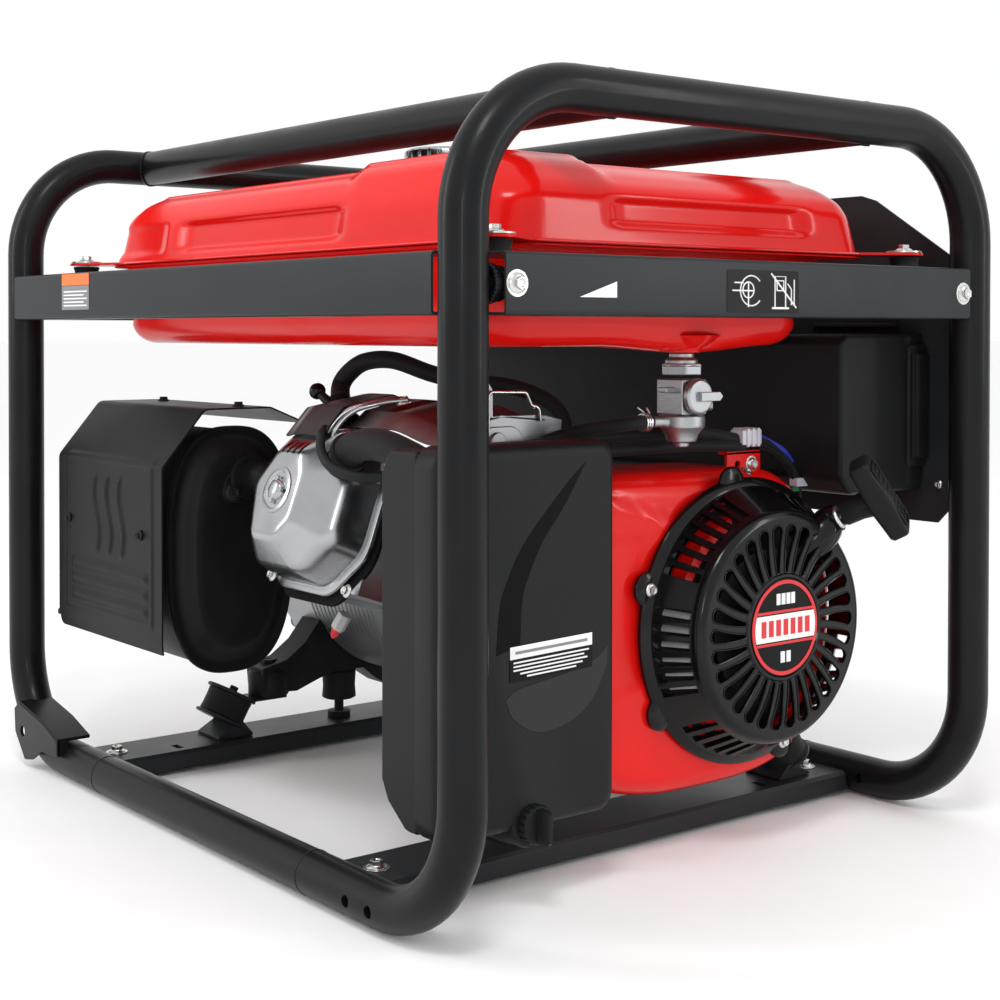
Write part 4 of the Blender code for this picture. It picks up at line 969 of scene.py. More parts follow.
def make_neck():
    """The moulded guide that the starter rope leaves by, with its metal ferrule."""
    start = Vector((286, 118, 226))
    route = smooth_line([start, (296, 126, 238), NECK - PULL * 10, NECK - PULL * 2], 8)
    horn = sweep(route, lambda t: 17 - 6.5 * t, 40)
    horn = carved(horn, rod(NECK - PULL * 14, NECK + PULL * 6, 4.2, 32))
    piece("starter_horn", horn, "gloss_black", angle=50, bevel=0.5)
    ferrule = lathe([(-7, 4.0), (-7, 8.6), (-6, 9.4), (-1.5, 9.4), (0, 8.4), (0.4, 6.2), (-0.6, 3.4)],
            NECK, PULL, 48, closed=True)
    piece("starter_ferrule", ferrule, "zinc", angle=50)
    along = Vector((0.42, 0.60, -0.62))
    along = (along - PULL * along.dot(PULL)).normalized()
    across = PULL.cross(along)
    grip = NECK + PULL * 34
    sections = []
    for reach, width, deep in ((-34, 8.5, 5), (-33, 11, 7), (-30.5, 12.3, 8.4), (-20, 12.6, 9.0),
            (-10, 12.8, 9.8), (0, 13, 10.6),
                               (10, 12.8, 9.8), (20, 12.6, 9.0), (30.5, 12.3, 8.4), (33, 11, 7), (34, 8.5,
                                       5)):
        ring = []
        for i in range(40):
            a = 2 * math.pi * i / 40
            c, s = math.cos(a), math.sin(a)
            u = math.copysign(abs(c) ** 0.38, c) * width
            v = math.copysign(abs(s) ** 0.38, s) * deep
            ring.append(grip + along * reach + across * u + PULL * v)
        sections.append(ring)
    bar = rings(sections)
    stem = lathe([(2, 8.4), (3, 9), (16, 9.6), (25, 11.5), (30, 12.5)], NECK, PULL, 48)
    bar = added(bar, stem)
    bar = carved(bar, rod(NECK - PULL * 5, NECK + PULL * 23.6, 2.5, 24))
    piece("starter_grip", bar, "plastic_black", "starter_handle", angle=40)
    frame_line = []
    for u, v in ((-1, -1), (1, -1), (1, 1), (-1, 1), (-1, -1)):
        frame_line.append(grip + along * (v * 27) + across * (u * 9.0) + PULL * 9.4)
    ridge = [sweep(rounded_path(frame_line, 3, 4), 0.8, 8)]
    for i in range(9):
        spot = grip + along * (-22 + 5.5 * i) + PULL * (10.1 - abs(i - 4) * 0.26)
        ridge.append(sweep([spot - across * 6.2, spot + across * 6.2], 1.0, 8))
    piece("starter_grip_ridges", joined(*ridge), "plastic_black", body="handle", angle=60)
    strand = []
    for k in range(3):
        path = []
        for i in range(61):
            t = i / 60
            a = t * 14 + k * 2 * math.pi / 3
            q = PULL.orthogonal().normalized()
            r = PULL.cross(q)
            path.append(NECK + PULL * (-20 + 43 * t) + (q * math.cos(a) + r * math.sin(a)) * 1.0)
        strand.append(sweep(path, 1.15, 10))
    piece("starter_cord", joined(*strand), "rope_white", "starter_rope", angle=60)


# Air cleaner

def face_ring(x, inset, radius, steps=12):
    """The rounded outline of the air cleaner at this distance along X."""
    cy, cz, hy, hz = CLEANER_Y, 188.5, 78.25 - inset, 131.5 - inset
    ring = []
    for sy, sz, start in ((1, 1, 0), (-1, 1, 90), (-1, -1, 180), (1, -1, 270)):
        for i in range(steps + 1):
            a = math.radians(start + 90 * i / steps)
            ring.append(Vector((x, cy + sy * (hy - radius) + radius * math.cos(a),
                    cz + sz * (hz - radius) + radius * math.sin(a))))
    return ring


def make_air_cleaner():
    rows = [face_ring(262.2, 1.2, 14), face_ring(262.2, 0.3, 15), face_ring(263, 0, 15),
            face_ring(280, 0, 15)]
    for i in range(1, 9):
        a = math.pi / 2 * i / 8
        rows.append(face_ring(280 + 9.4 * math.sin(a), 9.4 * (1 - math.cos(a)), 15 - 5 * i / 8))
    shell = rings(rows)
    lobe = lathe([(0, 17.5), (24, 17.5), (26.5, 16.5), (27.6, 14)], (262.4, CLEANER_Y, KNOB_Z), (1, 0, 0),
            48)
    shell = added(shell, lobe)
    tool = rings([face_ring(250, 3, 12), face_ring(280, 3, 12), face_ring(286.4, 9, 8)])
    shell = carved(shell, tool)
    piece("cleaner_shell", shell, "plastic_black", "air_cleaner_cover", angle=40)
    make_crescent()

    knob = [(0, 13), (0.6, 13.6), (6, 13.6), (7.5, 12.6), (8.4, 10)]
    rim = lathe(knob, (290.3, CLEANER_Y, KNOB_Z), (1, 0, 0), 64)
    grips = []
    for i in range(18):
        p = ring_on(Vector((0, CLEANER_Y, KNOB_Z)), 14.2, 20 * i, 289)
        grips.append(rod(p, p + Vector((12, 0, 0)), 1.5, 12))
    rim = carved(rim, *grips)
    wing = []
    for x, w, h in ((296, 4.2, 12.6), (304, 3.4, 12.4), (308.6, 2.8, 11.6), (310.2, 1.4, 10)):
        wing.append([(x, CLEANER_Y + w * u, KNOB_Z + h * v) for u, v in
                     ((-1, -0.7), (-0.6, -0.95), (0.6, -0.95), (1, -0.7), (1, 0.7), (0.6, 0.95),
                             (-0.6, 0.95), (-1, 0.7))])
    piece("cleaner_knob", joined(rim, rings(wing)), "plastic_black", "air_cleaner_knob", bevel=0.5)
    side = [(218.5, 90), (226, 76), (246, 61), (250, 60), (261.6, 60), (261.6, 316), (232, 316),
            (226, 313), (218.5, 300)]
    body = prism(side, "y", -234.5, -82.5)
    body = carved(body, rod((210, -128, 262), (232, -128, 262), 16, 40))
    piece("cleaner_base", body, "plastic_black", "air_cleaner_base", angle=30, bevel=3.0, segments=4)
    seam = rings([face_ring(259.8, 1.6, 14), face_ring(262.2, 1.6, 14), face_ring(262.2, 4, 12),
            face_ring(259.8, 4, 12)], closed=True)
    piece("cleaner_seam", seam, "rubber_black")
    make_label()


def outline_from(points, steps=10):
    line = smooth_line(points, steps)
    return [(p.y, p.z) for p in line]


def flat_shape(outline, x, thick, name, look, body, bevel=0.0):
    return piece(name, prism(outline, "x", x, x + thick), look, body=body, bevel=bevel)


def make_crescent():
    """The long dark swoosh and the broad low crescent moulded on the cover's face."""
    x = 289.35
    left = [(x, -110, 306), (x, -131, 288), (x, -165, 253), (x, -181, 226), (x, -186.5, 210),
            (x, -189.5, 179)]
    right = [(x, -169, 184), (x, -167.5, 212), (x, -163, 227), (x, -150, 252), (x, -131, 275),
            (x, -110, 306)]
    shape = outline_from(left, 8) + outline_from(right, 8)[:-1]
    dark = surface("swoosh", (0.0016, 0.0017, 0.0020), 0.42, grain=1500, bump=0.10, mottle=0.08,
            shine=0.08)
    flat_shape(shape, x, 0.3, "cover_swoosh", dark, "cleaner_cover")
    pale = surface("crescent", (0.026, 0.0266, 0.028), 0.50, grain=1500, bump=0.32, mottle=0.08)
    outer = [(x, -181.5, 148), (x, -173.8, 134), (x, -152.5, 123), (x, -122.8, 127), (x, -103, 141),
            (x, -90.5, 163)]
    inner = [(x, -90.5, 176), (x, -97, 170), (x, -112, 163), (x, -144, 158), (x, -171.6, 154),
            (x, -181.5, 148)]
    shape = outline_from(outer, 8) + outline_from(inner, 8)[:-1]
    flat_shape(shape, x, 0.35, "cover_crescent", pale, "cleaner_cover")


def make_label():
    """A two-tone service sticker with plain rules in place of words."""
    def at(u, v):
        return (-178 + 73 * u, 159.5 + 2.5 * u + v)
    def patch(u0, u1, v0, v1):
        return [at(u0, v0), at(u1, v0), at(u1, v1), at(u0, v1)]
    flat_shape(patch(0, 1, 0, 24), 289.75, 0.15, "sticker_black", INK_BLACK, "cleaner_cover")
    flat_shape(patch(0, 1, 15.5, 24), 289.9, 0.12, "sticker_white", INK_WHITE, "cleaner_cover")
    rules = []
    for k, (v, u0, u1) in enumerate(((12.4, 0.04, 0.96), (9.8, 0.04, 0.90), (7.2, 0.04, 0.94),
            (4.6, 0.12, 0.88), (2.2, 0.2, 0.8))):
        rules.append(prism(patch(u0, u1, v, v + 1.1), "x", 289.9, 290.02))
    piece("sticker_rules", joined(*rules), INK_WHITE, body="cleaner_cover")
    piece("sticker_rule_dark", prism(patch(0.06, 0.94, 18.6, 20.6), "x", 290.0, 290.15), INK_GREY,
            body="cleaner_cover")


# Exhaust

def oval_ring(x, half_y, half_z, count=120, power=0.75):
    ring = []
    for i in range(count):
        a = 2 * math.pi * i / count
        c, s = math.cos(a), math.sin(a)
        ring.append(Vector((x, -173 + half_y * math.copysign(abs(c) ** power, c),
                210 + half_z * math.copysign(abs(s) ** power, s))))
    return ring


def heat_waves(x, z):
    """How far the shield's side is pressed out at this spot: a frame, three wavy heat lines and three ribs."""
    out = 0.0
    inside = window(x, -276, -104, 3) * window(z, 146, 288, 3)
    field = window(x, -271, -109, 3) * window(z, 151, 283, 3)
    out += 1.2 * (inside - field)
    for k in range(3):
        mid = -214 + 24 * k + 5 * math.sin((z - 200) / 72 * 2 * math.pi)
        out += 1.7 * window(x - mid, -4.2, 4.2, 3.2) * window(z, 199, 272, 6)
    for mid in (160, 174, 188):
        out += 2.0 * window(z - mid, -6, 6, 5) * window(x, -268, -112, 8)
    return out


def make_shield():
    line = [Vector((0, -242, 128)), Vector((0, -243, 136)), Vector((0, -243, 283)),
            Vector((0, -203, 331)),
            Vector((0, -140, 331)), Vector((0, -106, 317))]
    path = rounded_path(line, 9, 8)
    dense = filled_in(path, 2.2)
    columns = [-294 + 204 * i / 120 for i in range(121)]
    rows = []
    for i, p in enumerate(dense):
        ahead, behind = dense[min(i + 1, len(dense) - 1)], dense[max(i - 1, 0)]
        way = (ahead - behind).normalized()
        normal = Vector((0, -way.z, way.y))
        row = []
        for x in columns:
            trim = 0.0
            if i < 8:
                trim = max(0.0, 10 - math.sqrt(max(0.0, 100 - max(0.0, -284 - x) ** 2)))
            out = heat_waves(x, p.z) if p.y < -238 else 0.0
            row.append(Vector((x, p.y, p.z + trim * (1 - i / 8 if i < 8 else 0))) + normal * out)
        rows.append(row)
    piece("muffler_shield_skin", walled(rows, 1.5), "muffler_black", "muffler_shield", angle=50)
    for i, (x, z) in enumerate(((-271, 227), (-128, 224))):
        bolt(f"shield_side_bolt_{i}", (x, -243.4, z), (0, -1, 0), 3.0, washer=False, look="cast_black")
    for i, x in enumerate((-250, -110)):
        bolt(f"shield_top_bolt_{i}", (x, -160, 330.6), (0, 0, 1), 3.8, washer=False, look="cast_black")


def make_muffler():
    a, b = 56, 101
    rows = [oval_ring(-288, a - 16, b - 16), oval_ring(-284, a - 8, b - 8), oval_ring(-276, a, b),
            oval_ring(-104, a, b),
            oval_ring(-103, a + 3.4, b + 3.4), oval_ring(-101.5, a + 4.2, b + 4.2), oval_ring(-98.5,
                    a + 4.2, b + 4.2),
            oval_ring(-97, a + 3.2, b + 3.2), oval_ring(-97, a + 0.6, b + 0.6), oval_ring(-99, a - 1.6,
                    b - 1.6),
            oval_ring(-99, a - 6, b - 6), oval_ring(-95, a - 12, b - 13), oval_ring(-90.5, a - 15,
                    b - 17),
            oval_ring(-88.8, a - 18, b - 21), oval_ring(-88.5, a - 26, b - 30), oval_ring(-88.5, 6, 20)]
    piece("muffler_can", rings(rows), "muffler_black", "muffler", angle=50)
    plate = []
    for x in (-90, -84):
        ring = []
        for i in range(48):
            t = 2 * math.pi * i / 48
            r = 17.5 + 11 * max(0.0, math.cos(t - math.radians(215))) ** 4
            ring.append((x, -163 + r * math.cos(t), 272 + r * math.sin(t)))
        plate.append(ring)
    piece("muffler_flange", rings(plate), "muffler_black", bevel=1.2, angle=40)
    bolt("muffler_flange_bolt", (-84, -180.5, 260), (1, 0, 0), 4.6, look="cast_black")
    end = lean(218, 0, -60.3)
    route = rounded_path([(-88, -163, 272), (-56, -163, 272), (end.x - 22, end.y, end.z), end], 18, 10)
    piece("exhaust_tube", sweep(route, 14.6, 40), "muffler_black", "exhaust_pipe", angle=50)
    collar = lathe([(0, 18), (0.6, 19), (5, 19), (6, 17)], (-88.5, -163, 272), (1, 0, 0), 48)
    piece("exhaust_collar", collar, "muffler_black", angle=50)
    tail = lathe([(-310, 10.5), (-310, 13), (-286, 13), (-286, 10.5)], (0, -176, 140), (1, 0, 0), 48,
            closed=True)
    piece("muffler_outlet", tail, "muffler_black", angle=40)


# Engine

def lean_prism(points, low, high):
    """An outline of (across, up) pairs, drawn out along the cylinder."""
    return rings([[lean(along, v, u) for u, v in points] for along in (low, high)])


def soft_polygon(points, radius, steps=6):
    """A polygon with rounded corners, as (u, v) pairs."""
    loop = [Vector((u, v, 0)) for u, v in points]
    out = []
    n = len(loop)
    for i in range(n):
        before, corner, after = loop[i - 1], loop[i], loop[(i + 1) % n]
        a, b = (before - corner), (after - corner)
        reach = min(radius, a.length * 0.45, b.length * 0.45)
        p, q = corner + a.normalized() * reach, corner + b.normalized() * reach
        for k in range(steps + 1):
            t = k / steps
            r = p * (1 - t) ** 2 + corner * 2 * t * (1 - t) + q * t * t
            out.append((r.x, r.y))
    return out


def make_valve_cover():
    outline = [(-0.60, -1), (0.50, -1), (1, -0.50), (1, 0.40), (0.62, 1), (-0.40, 1), (-1.04, 0.16)]
    base = soft_polygon(outline, 0.18)
    stages = [(245.4, 70, 72, 0), (246.4, 71, 73, 0), (250.6, 71, 73, 0), (251.6, 70, 72, 0),
            (252.0, 66.5, 68.5, 0),
              (252.6, 64.5, 66.5, 0), (256, 63.8, 65.6, 0), (270, 62.5, 63.5, 0), (277, 60.5, 61.5,
                      0), (282, 57.5, 58.5, -1)]
    for i in range(1, 9):
        t = i / 8
        stages.append((282 + 18.5 * t, 57.5 - 24 * t, 58.5 - 21 * t, -1 - 3 * t))
    stages += [(302.0, 31, 34.5, -4), (302.6, 27, 30.5, -4), (302.8, 10, 12, -4)]
    rows = []
    for along, wide, high, dv in stages:
        rows.append([lean(along, v * high * 0.97 + dv + 2, u * wide - 5) for u, v in base])
    shell = rings(rows)
    slots = []
    for k in range(4):
        u = -12 + 8 * k
        slots.append(rings([[lean(a, 36 + dv, u + du) for du,
                dv in ((-1.4, -6), (1.4, -6), (2.2, 5), (-0.6, 5))] for a in (286, 320)]))
    shell = carved(shell, joined(*slots))
    piece("valve_cover_skin", shell, "bright_steel", "valve_cover", angle=50)
    way = Vector(lean(1, 0)) - Vector(lean(0, 0))
    boss = lathe([(-3, 19), (0, 19), (1.5, 18.4), (2.0, 15.6), (0.6, 14.4), (0.4, 9), (3.8, 7.8),
            (5.2, 5.5), (5.4, 1)],
                 lean(302, 0, -2), way, 72)
    piece("valve_cover_boss", boss, "bright_steel", angle=50)
    bars = []
    for half_u, half_v in ((11, 1.6), (1.6, 11)):
        bar = [(-half_u, -half_v), (half_u, -half_v), (half_u, half_v), (-half_u, half_v)]
        bars.append(lean_prism([(u - 2, v) for u, v in bar], 304, 306.4))
    cross = joined(*bars)
    piece("valve_cover_boss_cross", cross, "bright_steel", bevel=0.4)
    gasket = lean_prism([(u * 70, v * 72 - 3) for u, v in base], 242.5, 245.3)
    piece("valve_cover_gasket", gasket, CAVITY)
    for k, (u, v) in enumerate(((-52, -58), (52, -58), (60, 34), (-60, 34))):
        bolt(f"valve_cover_bolt_{k}", lean(251.8, v - 3, u * 1.06), way, 3.6, washer=False)


def sheet(profile, x0, x1, columns, shape):
    """A bent sheet: a (y, z) line drawn along X, with each point then moved by the shape function."""
    path = rounded_path([Vector((0, y, z)) for y, z in profile], 6, 6)
    across = [x0 + (x1 - x0) * i / columns for i in range(columns + 1)]
    return walled([[shape(Vector((x, p.y, p.z))) for x in across] for p in filled_in(path, 2.5)], 1.2)


SHROUD_GREY = surface("shroud_grey", (0.052, 0.054, 0.057), 0.36, metal=0.5, grain=300, bump=0.10,
        mottle=0.2)
SHROUD_SILVER = surface("shroud_silver", (0.30, 0.31, 0.32), 0.38, metal=1, grain=220, bump=0.16,
        mottle=0.15, blotch=50)


def make_shroud():
    def over_head(q):
        rise = step_between(-4, 40, q.x) * 4
        return Vector((q.x, q.y + 10 * (1 - step_between(-6, 26, q.x)), q.z + rise - 4))
    top = sheet([(-186, 316), (-166, 338), (-120, 346), (-96, 338)], -4, 66, columns=40, shape=over_head)
    piece("head_shroud_skin", top, SHROUD_GREY, "head_shroud", angle=50)

    def cast(q):
        dip = 9 * step_between(120, 176, q.x) + 8 * window(q.x, 88, 112, 8) * step_between(-150, -120,
                q.y)
        return Vector((q.x, q.y, q.z - dip))
    far = sheet([(-160, 322), (-146, 334), (-104, 342), (-62, 338)], 66, 186, columns=60, shape=cast)
    piece("head_shroud_silver", far, SHROUD_SILVER, angle=50)
    wall = [(-160, 303), (-158, 318), (-146, 328), (-118, 333), (-64, 333), (-34, 326), (-14, 303)]
    inset = [(-142, 307), (-138, 318), (-116, 325), (-92, 325), (-84, 316), (-80, 307)]
    panel = joined(prism(soft_polygon(wall, 8), "x", 183, 186),
            prism(soft_polygon(inset, 6), "x", 186, 188.4),
                   rod((188, -110, 314), (191, -110, 314), 7, 32))
    piece("head_shroud_end", panel, SHROUD_SILVER, bevel=1.0)
    trims = []
    for dx, r in ((0, 2.6), (9, 2.0)):
        line = smooth_line([(58 + dx, -178, 300), (60 + dx, -176, 318), (66 + dx, -164, 333),
                (78 + dx, -146, 340), (96 + dx, -132, 343)], 10)
        trims.append(sweep(line, r, 14, 0.7))
    piece("head_shroud_trim", joined(*trims), "bright_steel", angle=60)
    wire = [(188, -118, 322), (188, -118, 351), (188, -82, 350), (188, -76, 338), (188, -70, 341),
            (188, -68, 328)]
    piece("governor_wire", sweep(rounded_path(wire, 4, 5), 1.3, 10), "zinc", angle=60)
    plate = prism([(-122, 330), (-112, 330), (-112, 352), (-116, 358), (-122, 352)], "x", 184, 186)
    piece("governor_plate", plate, SHROUD_SILVER, bevel=0.4)
    bolt("shroud_bolt_0", (150, -128, 334), (0, -0.3, 1), 3.6)
    bolt("shroud_bolt_1", (100, -132, 341), (0, -0.3, 1), 3.6)


def make_ignition():
    """The plug lead with its boot, a ball-ended rod beside the head, and a guard by the carburettor."""
    start = PLUG + PLUG_WAY * 34
    route = smooth_line([start, (-22, -112, 350), (-12, -108, 363), (6, -104, 371), (36, -98, 372),
            (74, -88, 362), (104, -76, 356), (140, -56, 352),
                         (172, -44, 340), (184, -40, 322), (184, -40, 292)], 10)
    piece("plug_cable", sweep(route, lambda t: 8.2 - 2.6 * t, 28), "rubber_black", "plug_lead", angle=60)
    base = PLUG + PLUG_WAY * 13
    boot = lathe([(0, 9.5), (1, 11), (8, 11), (11, 9.6), (24, 8.6), (28, 9.6), (30, 9), (33, 5)], base,
            PLUG_WAY, 48)
    piece("plug_boot", boot, "rubber_black", angle=50)
    lever_a, lever_b = Vector((2, -150, 347)), Vector((52, -142, 316))
    piece("guard_rod", sweep([lever_a, lever_b], lambda t: 3.4 + 2.4 * t, 24), "plastic_black", angle=50)
    ball = lathe([(-6, 2), (-5, 4.6), (-2.6, 6.4), (0, 7), (2.6, 6.4), (5, 4.6), (6, 2)], lever_a,
            lever_b - lever_a, 32)
    piece("guard_ball", ball, "gloss_black", angle=60)
    ring = smooth_line([(84, -196, 322), (94, -204, 319), (99, -207, 306), (114, -207, 295),
            (139, -200, 289), (156, -190, 290)], 8)
    piece("carburettor_guard", sweep(ring, 4.2, 14, 0.6), "plastic_black", angle=60)


def make_snorkel():
    """The ribbed black elbow that brings air from behind the cleaner box."""
    line = smooth_line([(98, -186, 296), (108, -188, 305), (124, -189, 311), (148, -190, 313),
            (172, -190, 310), (192, -188, 303), (218, -184, 290)], 10)
    piece("intake_snorkel", sweep(line, lambda t: 13.5 - 1.5 * window(t, 0.1, 0.9, 0.2), 40),
            "rubber_black", angle=60)
    lips = []
    for t in (0, len(line) // 6, len(line) - 8):
        lips.append(lathe([(-3, 12), (-2, 15), (2, 15), (3, 12)], line[t],
                line[min(t + 1, len(line) - 1)] - line[t], 40))
    piece("snorkel_lips", joined(*lips), "rubber_black", angle=60)
    hood = rings([[(x, -172 + w * 15, 288 + h * 13) for w, h in
                   soft_polygon([(-1, -1), (1, -1), (1, 1), (-1, 1)], 0.5)] for x in (196, 222)])
    piece("cleaner_inlet", hood, "plastic_black", bevel=2, angle=40)


def make_carburettor():
    polished("carburettor", 1.2)
    polished("choke_lever", 0.4)
    polished("intake_elbow", 1.0)
    bowl = lathe([(0, 16), (2, 20), (14, 21), (26, 19.5), (30, 15), (33, 6)], (153, -123, 236),
            (0, 0, -1), 48)
    piece("carburettor_bowl", bowl, "alloy", angle=50)
    links = [box(136, 150, -166, -148, z, z + 7) for z in (214, 226, 240)]
    piece("carburettor_linkage", joined(*links), "zinc", bevel=0.8)


def make_fins():
    """Cooling fins round the cylinder barrel and the head, seen through the gaps."""
    plates = []
    for k in range(9):
        a = 92 + 10.5 * k
        plates.append(lean_prism(((-66, -66), (66, -66), (66, 62), (-66, 62)), a, a + 2.6))
    piece("barrel_fins", joined(*plates), GREY_FIN, bevel=0.5)


def make_alternator():
    """The alternator's round body: a cooling-slotted end bell, a band of laminations and through bolts."""
    cy, cz = CRANK.y, CRANK.z
    x0, x1 = ALTERNATOR
    profile = [(x0, 14), (x0, 78), (x0 + 1.5, 82), (x0 + 9, 92), (x0 + 20, 98), (x0 + 33, 103),
            (x0 + 34, 107.3),
               (x0 + 35, 107.9), (x1 - 35, 107.9), (x1 - 34, 107.3), (x1 - 33, 102), (x1, 96.5), (x1 + 6,
                       99.6), (-35.4, 99.6)]
    inner = [(-35.4, 40), (x1 - 8, 40), (x1 - 8, 88), (x0 + 12, 88), (x0 + 12, 14)]
    shell = lathe(profile + inner, (0, cy, cz), (1, 0, 0), 96, closed=True)
    vents = []
    for i in range(12):
        a = math.radians(30 * i + 15)
        for r0, r1 in ((34, 52), (58, 78)):
            ring = []
            for r, t in ((r0, -0.11), (r1, -0.11), (r1, 0.11), (r0, 0.11)):
                w = t * 46 / r
                ring.append((r * math.sin(a + w), r * math.cos(a + w)))
            vents.append(prism([(cy + u, cz + v) for u, v in soft_polygon(ring, 3, 3)], "x", x0 - 5,
                    x0 + 20))
    shell = carved(shell, joined(*vents))
    piece("alternator_shell", shell, "alloy", "alternator_housing", angle=35, bevel=0.6)
    bands = [lathe([(x0 + 92 + 7 * i, 107.5), (x0 + 92 + 7 * i, 108.2), (x0 + 94 + 7 * i, 108.2),
            (x0 + 94 + 7 * i, 107.5)],
                   (0, cy, cz), (1, 0, 0), 96, closed=True) for i in range(16)]
    piece("alternator_bands", joined(*bands), GREY_FIN, angle=40)
    for i in range(4):
        a = math.radians(45 + 90 * i)
        spot = Vector((x0 + 20, cy + 94 * math.cos(a), cz + 94 * math.sin(a)))
        piece(f"alternator_lug_{i}", rod(spot - Vector((10, 0, 0)), spot + Vector((16, 0, 0)), 8, 32),
                "alloy", bevel=0.8)
        bolt(f"alternator_bolt_{i}", spot - Vector((10, 0, 0)), (-1, 0, 0), 4.6)


def make_block_details():
    """Ribs, bosses, plugs and bolts on the far side and the foot of the engine block."""
    ribs = [box(-24, 154, 165, 169, z, z + 3.4) for z in (92, 122, 152, 182)]
    ribs += [box(x, x + 3.4, 165, 168, 76, 206) for x in (10, 64, 118)]
    ribs += [rod((x, 160, z), (x, 171, z), 9, 32) for x in (-22, 152) for z in (82, 200)]
    ribs.append(lathe([(0, 30), (3, 29), (4.5, 26), (4.5, 12), (2, 10), (2, 1)], (64, 166, 140),
            (0, 1, 0), 64))
    piece("block_ribs", joined(*ribs), "alloy", bevel=0.8)
    for i, (x, z) in enumerate(((-22, 82), (152, 82), (-22, 200), (152, 200))):
        bolt(f"block_bolt_{i}", (x, 171, z), (0, 1, 0), 4.4)
    bolt("block_plug", (64, 168, 140), (0, 1, 0), 7.0)
    plug = lathe([(0, 11), (1, 12), (5, 12), (6, 10), (6, 1)], (60, 110, 247.6), (0, 0, 1), 48)
    piece("block_top_plug", plug, "plastic_black", bevel=0.5)


# Feet and mounts

def make_foot():
    x = REAR_BEAM_X
    outline = [(-80, 56), (-45, 54), (-22, 62), (-6, 67), (30, 67), (44, 56), (56, 48), (104, 48),
            (128, 54), (166, 54),
               (171, 74), (190, 124), (178, 132), (150, 133), (-6, 133), (-18, 121), (-36, 99), (-56,
                       85), (-82, 79)]
    bracket = prism(outline, "x", x - 16, x + 16)
    bracket = carved(bracket, rod((x - 40, 75, 172), (x + 40, 75, 172), 108.4, 96))
    piece("foot_casting", bracket, "cast_black", "foot_bracket", angle=40, bevel=3.2, segments=3)
    for i, y in enumerate((-67, 152)):
        boss = lathe([(0, 17), (2, 19), (22, 19), (25, 17.5), (26.5, 14)], (x, y, 50.5), (0, 0, 1), 48)
        piece(f"foot_boss_{i}", boss, "cast_black", angle=40)
        bolt(f"foot_bolt_{i}", (x, y, 77.5), (0, 0, 1), 8.0, look="cast_black")
    for tag, x0, y0 in (("front_left", FRONT_BEAM_X, -100), ("front_right", FRONT_BEAM_X, 188),
            ("rear_left", REAR_BEAM_X, -113), ("rear_right", REAR_BEAM_X, 192)):
        toward = 1 if y0 < 0 else -1
        z0 = 44 if x0 > 0 else 46
        tilt = Vector((0, toward * 0.5, 0.866))
        rubber = lathe([(-10, 20), (-9, 21.5), (-4, 21.0), (6, 21.0), (11, 21.5), (12, 20)], (x0, y0, z0),
                tilt, 56)
        discs = [lathe([(a, 23.2), (a + 0.5, 24.2), (a + 2.4, 24.2), (a + 3, 23.2)], (x0, y0, z0), tilt,
                56) for a in (-13, 12)]
        stud = rod(Vector((x0, y0, z0)) + tilt * 14, Vector((x0, y0, z0)) + tilt * 20, 4)
        wedge = [(y0 - 18, 20.3), (y0 + 18, 20.3), (y0 + 18, 22.5), (y0 + toward * 5 + 3, z0 - 12),
                (y0 + toward * 5 - 3, z0 - 12), (y0 - 18, 22.5)]
        seat = prism(wedge, "x", x0 - 20, x0 + 20)
        reach, low, high = (52, 45.8, 48.7) if x0 > 0 else (58, 49.0, 51.7)
        arm = box(x0 - 14, x0 + 14, *sorted((y0, y0 + toward * reach)), low, high)
        piece(f"mount_{tag}_rubber", rubber, "rubber_black", f"mount_{tag}", angle=50)
        piece(f"mount_{tag}_steel", joined(*discs, stud, seat, arm), "beam_black", bevel=0.5)
    snub = lathe([(0, 11), (5, 11), (5.5, 4.5), (17, 4.5), (17.5, 14), (19, 16.5), (30, 15.6), (44, 16.5),
            (46, 14.5)], (x, 12, 20.3), (0, 0, 1), 48)
    piece("mount_rear_centre_snubber", snub, "rubber_black", "mount_rear_centre", angle=40)
    way = Vector((-0.45, -0.25, -0.85))
    nut = hexagon((10, -128, 164), way, 11, 15)
    piece("drain_nut", nut, plain("nylon_grey", (0.50, 0.50, 0.49), 0.45), bevel=1.0)
    tip = lathe([(15, 4.4), (21, 3.2), (24, 1.2)], (10, -128, 164), way, 32)
    piece("drain_tip", tip, INK_RED, angle=60)


# Fuel line

